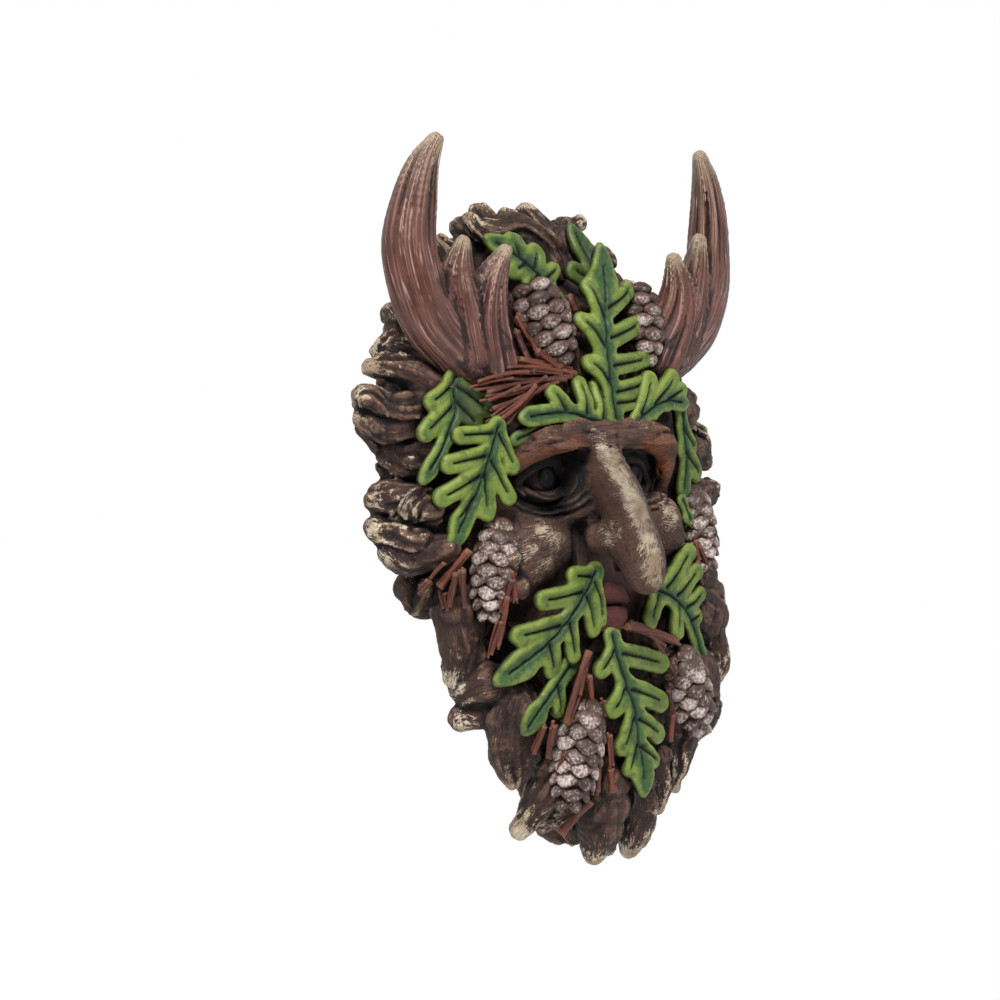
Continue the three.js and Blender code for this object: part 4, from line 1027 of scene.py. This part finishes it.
# Antlers
def make_antler(name, sign, strokes):
    """An antler of one long stroke and its points, with flutes and grooves along each."""
    field = Field(*ANTLER_BOX, ANTLER_STEP)
    grain = np.zeros((3, *field.value.shape), np.float32)
    share = np.zeros(field.value.shape, np.float32)
    seam = np.full(field.value.shape, FAR, np.float32)
    for number, stroke in enumerate(strokes):
        slices, best, here = field.stroke(stroke, margin=12, grain=True)
        flute = 2 * np.abs(noise(here[0] / 4.4 + 9 * number, here[1] / 4.4, here[2] / 80)) - 0.5
        groove = 2 * np.abs(noise(here[0] / 2 + 5 * number, here[1] / 2, here[2] / 50)) - 0.5
        length = here[2].max()
        size = ease(here[2] / length, 1.05, 0.7)
        best = best - (0.25 + 0.75 * size) * (1.25 * flute + 0.5 * groove)
        seam[slices] = np.minimum(seam[slices], np.abs(best - field.value[slices]))
        nearer = best < field.value[slices]
        grain[(slice(None), *slices)][:, nearer] = here[:, nearer]
        grain[0][slices][nearer] += 20 * number
        share[slices][nearer] = here[2][nearer] / length
        field.value[slices] = soft_least(field.value[slices], best, 3.0 if number else 1.0)
    points, faces = field.surface()
    normals = field.normals(points)
    level = field.level(points)
    # Darker where the surface is closed in, in creases and where the tines join: partly dark wash, partly
    # painted shade.
    crest, hollow = ease(level, 0.16, 0.5), ease(level, 0.02, -0.25)
    hollow = np.maximum(hollow, np.clip(1 - field.sample(points + 6 * normals) / 6, 0, 1) * 0.8)
    place = (points - field.low) / field.step
    grain, share = between(grain, place).T, between(share, place)
    joint = ease(between(seam, place), 1.1, 0.3) * ease(share, 0.5, 0.3)
    hollow = np.maximum(hollow, joint * (0.4 + 0.6 * ease(share, 0.05, 0.2)))
    piece(
        name, points * (sign, 1, 1), faces[:, ::sign], HORN, hollow=hollow, crest=crest,
        grain=grain + (0, 0, 40 * sign), tip=ease(share, 0.55, 1.0),
        end=ease(share, 0.88, 1.0),
    )


for antler in ANTLERS:
    make_antler(*antler)


# Eyes
def make_eye(name, centre, gaze):
    gaze = np.array(gaze, float) / np.linalg.norm(gaze)
    side = np.cross(gaze, (0, 0, 1))
    side /= np.linalg.norm(side)
    above = np.cross(side, gaze)
    rings, around = 60, 64
    angle = np.linspace(0, math.pi * 0.62, rings + 1)[1:]
    turn = np.arange(around) * 2 * math.pi / around
    radius = EYE_RADIUS + 0.45 * ease(angle, 0.54, 0.46) - 0.7 * ease(angle, 0.27, 0.2)
    points = [np.array(centre) + gaze * (EYE_RADIUS - 0.25)]
    angles = [0.0]
    for a, r in zip(angle, radius):
        for t in turn:
            direction = gaze * math.cos(a) + (side * math.cos(t) + above * math.sin(t)) * math.sin(a)
            points.append(np.array(centre) + direction * r)
            angles.append(a)
    faces = [(0, 1 + (i + 1) % around, 1 + i) for i in range(around)]
    faces += ring_faces(1, rings - 1, around)
    piece(name, np.array(points), faces, EYE, angle=angles)


make_eye("eye_left", EYES[0], GAZE)
make_eye("eye_right", EYES[1], GAZE)


# Oak leaves
def capsule(x, z, a, b, r0, r1):
    """How far points lie from a tapering line and from its middle, and how far along it."""
    along = np.array(b) - np.array(a)
    t = np.clip(((x - a[0]) * along[0] + (z - a[1]) * along[1]) / max(along @ along, 1e-6), 0, 1)
    gap = np.hypot(x - a[0] - t * along[0], z - a[1] - t * along[1])
    return gap - (r0 + t * (r1 - r0)), gap, t


def make_leaf(name, rib, widths, shade, lobes):
    """A leaf carved flat, with a puffed rim and cut veins, then bent to the depth of its marks."""
    line = line_through(np.array(rib, float), 60)
    # How much painted shade lies on the leaf, and from how far across it starts.
    amount, start = shade if isinstance(shade, tuple) else (shade, EVERYWHERE)
    marks = np.array(
        [(p[0], p[2], p[1]) for p in (*line[::6], line[-1])] + [(x, z, o) for _, x, o, z, _ in lobes]
    )
    low, high = marks[:, :2].min(0) - 7, marks[:, :2].max(0) + 5
    field = Field((low[0], -LEAF_THICKNESS - 1, low[1]), (high[0], 3.6, high[1]), LEAF_STEP)
    x, h, z = (start_at + LEAF_STEP * np.arange(count) for start_at, count in zip(field.low, field.size))
    x, z = np.meshgrid(x, z, indexing="ij")
    h = h[:, None]
    shape, vein, rib_gap = (np.full(x.shape, 99.0) for _ in range(3))
    rim_width, rim_height = 2.6, 2.3
    shares = np.linspace(0, 1, len(line))
    length = np.linalg.norm(np.diff(line, axis=0), axis=1).sum()
    for i in range(len(line) - 1):
        a, b = line[i, [0, 2]], line[i + 1, [0, 2]]
        r = np.interp(shares[i], [0, 0.6, 0.8], [widths[0], widths[0] * 0.9, widths[1]])
        r = min(r, 0.4 + 1.75 * ((1 - shares[i]) * length) ** 0.5)
        gap, dist, _ = capsule(x, z, a, b, r, r)
        shape = np.minimum(shape, gap)
        rib_gap = np.minimum(rib_gap, dist)
        if shares[i] < 0.9:
            vein = np.minimum(vein, dist * (1 + 0.7 * shares[i]))
    for share, tx, _, tz, r in lobes:
        base = line[int(round(share * (len(line) - 1)))][[0, 2]]
        tip = np.array([tx, tz])
        away = (tip - base) / np.linalg.norm(tip - base)
        centre = tip - away * r
        gap, _, _ = capsule(x, z, base, centre, r * 1.12, r * 1.04)
        shape = soft_least(shape, gap, 1.6)
        first, last = base + (centre - base) * 0.12, base + (centre - base) * 0.9
        _, dist, t = capsule(x, z, first, last, 0, 0)
        vein = np.minimum(vein, dist * (0.7 + 0.75 * t))
    shape = shape + 0.35 * noise(x / 3.1, z / 3.1, x * 0 + 0.5)
    inside = -shape
    bulge = np.sqrt(np.clip(1 - (1 - np.clip(inside / rim_width, 0, 1)) ** 2, 0, 1)) * rim_height
    dish = 0.3 * ease(inside, 1.8, 4.4) + 0.9 * ease(rib_gap, 6, 1.5)
    slit = 1.2 * np.exp(-((vein / 0.55) ** 2)) + 0.45 * np.exp(-((vein / 1.5) ** 2))
    height = bulge - dish - slit * ease(inside, 0.6, 1.6) + 0.22 * noise(x / 2.2, z / 2.2, x * 0)
    outline = shape[:, None] + 0.55 * np.maximum(-h - 0.3, 0)
    value = np.maximum(h - height[:, None], outline)
    field.value = np.maximum(value, -LEAF_THICKNESS - h).astype(np.float32)
    points, faces = field.surface()

    def depth(px, pz):
        gap = (px[:, None] - marks[:, 0]) ** 2 + (pz[:, None] - marks[:, 1]) ** 2
        weight = 1 / (gap + 6) ** 1.5
        return (weight * marks[:, 2]).sum(1) / weight.sum(1)

    px, ph, pz = points.T
    out = depth(px, pz)
    along_x = (depth(px + 1, pz) - depth(px - 1, pz)) / 2
    along_z = (depth(px, pz + 1) - depth(px, pz - 1)) / 2
    normal = np.stack([-along_x, np.ones_like(px), -along_z], 1)
    normal /= np.linalg.norm(normal, axis=1, keepdims=True)

    tables = np.repeat(np.stack([inside, vein, rib_gap])[:, :, None], 2, axis=2)
    edge, vein, rib_gap = between(tables, (points - field.low) / LEAF_STEP * (1, 0, 1))
    piece(
        name, np.stack([px, out, pz], 1) + normal * ph[:, None], faces, LEAF,
        edge=np.where(ph < -0.8, -1.0, edge), vein=vein, rib=rib_gap,
        shade=amount * ease(px, start - 3, start + 3),
    )


for leaf in LEAVES:
    make_leaf(*leaf)


# Pine cones
def make_cone(name, stalk, tip, radius, rows, kind, seed):
    spacing, least_tilt, more_tilt, long, wide, thick = kind
    random = np.random.default_rng(seed)
    stalk, tip = np.array(stalk, float), np.array(tip, float)
    length, axis, front, side = axes_along(stalk, tip)
    rings, around = 9, 12
    points, faces, rise, tint = [], [], [], []

    def blob(centre, u, v, w, half, tone, core=False):
        """A rounded scale: u runs along the cone to its free end, v round it, w out of it."""
        start = len(points)
        for i in range(rings + 1):
            a = math.pi * i / rings
            for j in range(around):
                b = 2 * math.pi * j / around
                pu, pv, pw = -math.cos(a), math.sin(a) * math.cos(b), math.sin(a) * math.sin(b)
                if core:
                    place = centre + u * half[0] * pu + v * half[1] * pv + w * half[2] * pw
                else:
                    narrow = 1 - 0.28 * max(-pu, 0) - 0.22 * max(pu, 0) ** 2
                    keel = 0.22 * half[2] * max(0, 1 - abs(pv) * 2.4) * max(pw, 0) * (0.4 + pu)
                    place = centre + u * half[0] * (pu + 0.14 * max(pu, 0) ** 3) + v * half[1] * pv * narrow
                    place = place + w * (half[2] * pw + keel)
                points.append(place)
                # The core and the bases and undersides of the scales get a low rise, which is painted dark
                # as shade in the gaps.
                rise.append(-0.6 if core else 0.5 * pw + 0.5 * pu)
                tint.append(tone)
        faces.extend(ring_faces(start, rings, around))

    # The core is a dark body under the scales that stands for the shade between them.
    core = (length * 0.46, radius * 0.7, radius * 0.7)
    blob((stalk + tip) / 2, axis, side, front, core, 0.0, core=True)
    for row in range(rows):
        t = (row + 0.4) / rows
        girth = radius * np.interp(t, [0, 0.12, 0.35, 0.65, 0.88, 1], [0.45, 0.8, 0.95, 0.88, 0.62, 0.25])
        count = max(4, int(round(2 * math.pi * girth / spacing)))
        for i in range(count):
            turn = 2 * math.pi * (i + (0.5 if row % 2 else 0) + random.uniform(-0.1, 0.1)) / count
            outward = front * math.cos(turn) + side * math.sin(turn)
            tilt = least_tilt + more_tilt * random.random()
            u = axis * math.cos(tilt) + outward * math.sin(tilt)
            w = outward * math.cos(tilt) - axis * math.sin(tilt)
            half = (length / rows * long, 2 * math.pi * girth / count * wide, thick)
            place = stalk + axis * (length * t + random.uniform(-0.5, 0.5)) + outward * (girth - 2.4)
            blob(place, u, np.cross(axis, outward), w, half, random.random())
    piece(name, np.array(points), faces, SCALE, rise=rise, tint=tint)


for number, cone in enumerate(CONES):
    make_cone(*cone, seed=number + 1)


# Twigs
def make_twigs():
    random = np.random.default_rng(5)
    points, faces, grain, tint, end = [], [], [], [], []
    sides, steps = 8, 9
    slivers = [
        tuple(v + random.uniform(-1.6, 0.2 if i in (1, 4) else 1.6) for i, v in enumerate(twig[:6]))
        + (twig[6] * 0.55,)
        for twig in TWIGS for _ in range(2) if twig[6] > THICK_TWIG
    ]
    for number, (x0, o0, z0, x1, o1, z1, radius) in enumerate(TWIGS + slivers):
        a, b = np.array([x0, o0, z0], float), np.array([x1, o1, z1], float)
        length, _, front, side = axes_along(a, b)
        bow = random.uniform(-0.05, 0.05) * length
        shade = random.random()
        start = len(points)
        flat = random.uniform(0.65, 0.9)
        for i in range(steps + 1):
            t = i / steps
            centre = a + (b - a) * t + side * bow * math.sin(math.pi * t) + front * 0.4
            size = radius * (0.68 + 0.2 * random.random()) * (1 - 0.15 * t)
            for j in range(sides):
                turn = 2 * math.pi * (j + 0.5) / sides
                square = 1 / max(abs(math.cos(turn)), abs(math.sin(turn))) ** 0.5
                offset = front * math.cos(turn) * flat + side * math.sin(turn)
                points.append(centre + offset * size * square * random.uniform(0.93, 1.07))
                grain.append((math.cos(turn) * 3 + 11 * number, math.sin(turn) * 3, t * length))
                tint.append(shade)
                end.append(1.0 if i in (0, steps) else 0.0)
        faces += ring_faces(start, steps, sides)
        faces.append(tuple(start + j for j in reversed(range(sides))))
        faces.append(tuple(start + steps * sides + j for j in range(sides)))
    made = piece("twigs", np.array(points), faces, TWIG, grain=grain, tint=tint, end=end)
    made.data.polygons.foreach_set("use_smooth", [len(f.vertices) == 4 for f in made.data.polygons])


make_twigs()


# Studio
def studio():
    camera = add_object("camera", bpy.data.cameras.new("camera"))
    rows = np.eye(4)
    rows[:3] = np.column_stack([CAMERA_RIGHT, CAMERA_UP, CAMERA_BACK, CAMERA_PLACE])
    camera.matrix_world = Matrix(rows.tolist())
    camera.data.sensor_width = 36
    camera.data.lens = CAMERA_LENS
    camera.data.clip_start = 0.05
    camera.data.clip_end = 50
    bpy.context.scene.camera = camera

    floor_mesh = bpy.data.meshes.new("floor")
    corners = ((-1, -1), (1, -1), (1, 1), (-1, 1))
    floor_points = [(x * FLOOR_REACH, y * FLOOR_REACH, FLOOR_HEIGHT) for x, y in corners]
    floor_mesh.from_pydata(floor_points, [], [(0, 1, 2, 3)])
    floor = add_object("floor", floor_mesh)
    pale = bpy.data.materials.new("pale_floor")
    pale.use_nodes = True
    shader = pale.node_tree.nodes["Principled BSDF"]
    shader.inputs["Base Color"].default_value = (0.85, 0.85, 0.85, 1)
    shader.inputs["Roughness"].default_value = 0.8
    floor_mesh.materials.append(pale)

    # A white backdrop behind the mask, and a dimmer room in front of it.
    world = bpy.data.worlds.new("studio")
    bpy.context.scene.world = world
    world.use_nodes = True
    nodes, links = world.node_tree.nodes, world.node_tree.links
    split = nodes.new("ShaderNodeSeparateXYZ")
    links.new(nodes.new("ShaderNodeTexCoord").outputs["Generated"], split.inputs[0])
    level = nodes.new("ShaderNodeMapRange")
    level.interpolation_type = "SMOOTHSTEP"
    for end, value in (("From Min", -0.6), ("From Max", -0.05), ("To Min", 0.3), ("To Max", 1.0)):
        level.inputs[end].default_value = value
    links.new(split.outputs["Y"], level.inputs["Value"])
    links.new(level.outputs["Result"], nodes["Background"].inputs["Strength"])
    nodes["Background"].inputs["Color"].default_value = (1, 1, 1, 1)

    def lamp(name, place, size, power):
        """A round lamp that points at the mask, in metres and watts."""
        light = bpy.data.lights.new(name, "AREA")
        light.shape = "DISK"
        light.size = size
        light.energy = power
        made = add_object(name, light)
        made.location = place
        made.rotation_euler = (-Vector(place)).to_track_quat("-Z", "Y").to_euler()

    lamp("key", (-0.9, -1.0, 1.3), 0.6, 62)
    lamp("fill", (0.9, -1.3, 0.3), 0.9, 10)
    bpy.context.scene.view_settings.view_transform = "Standard"


studio()
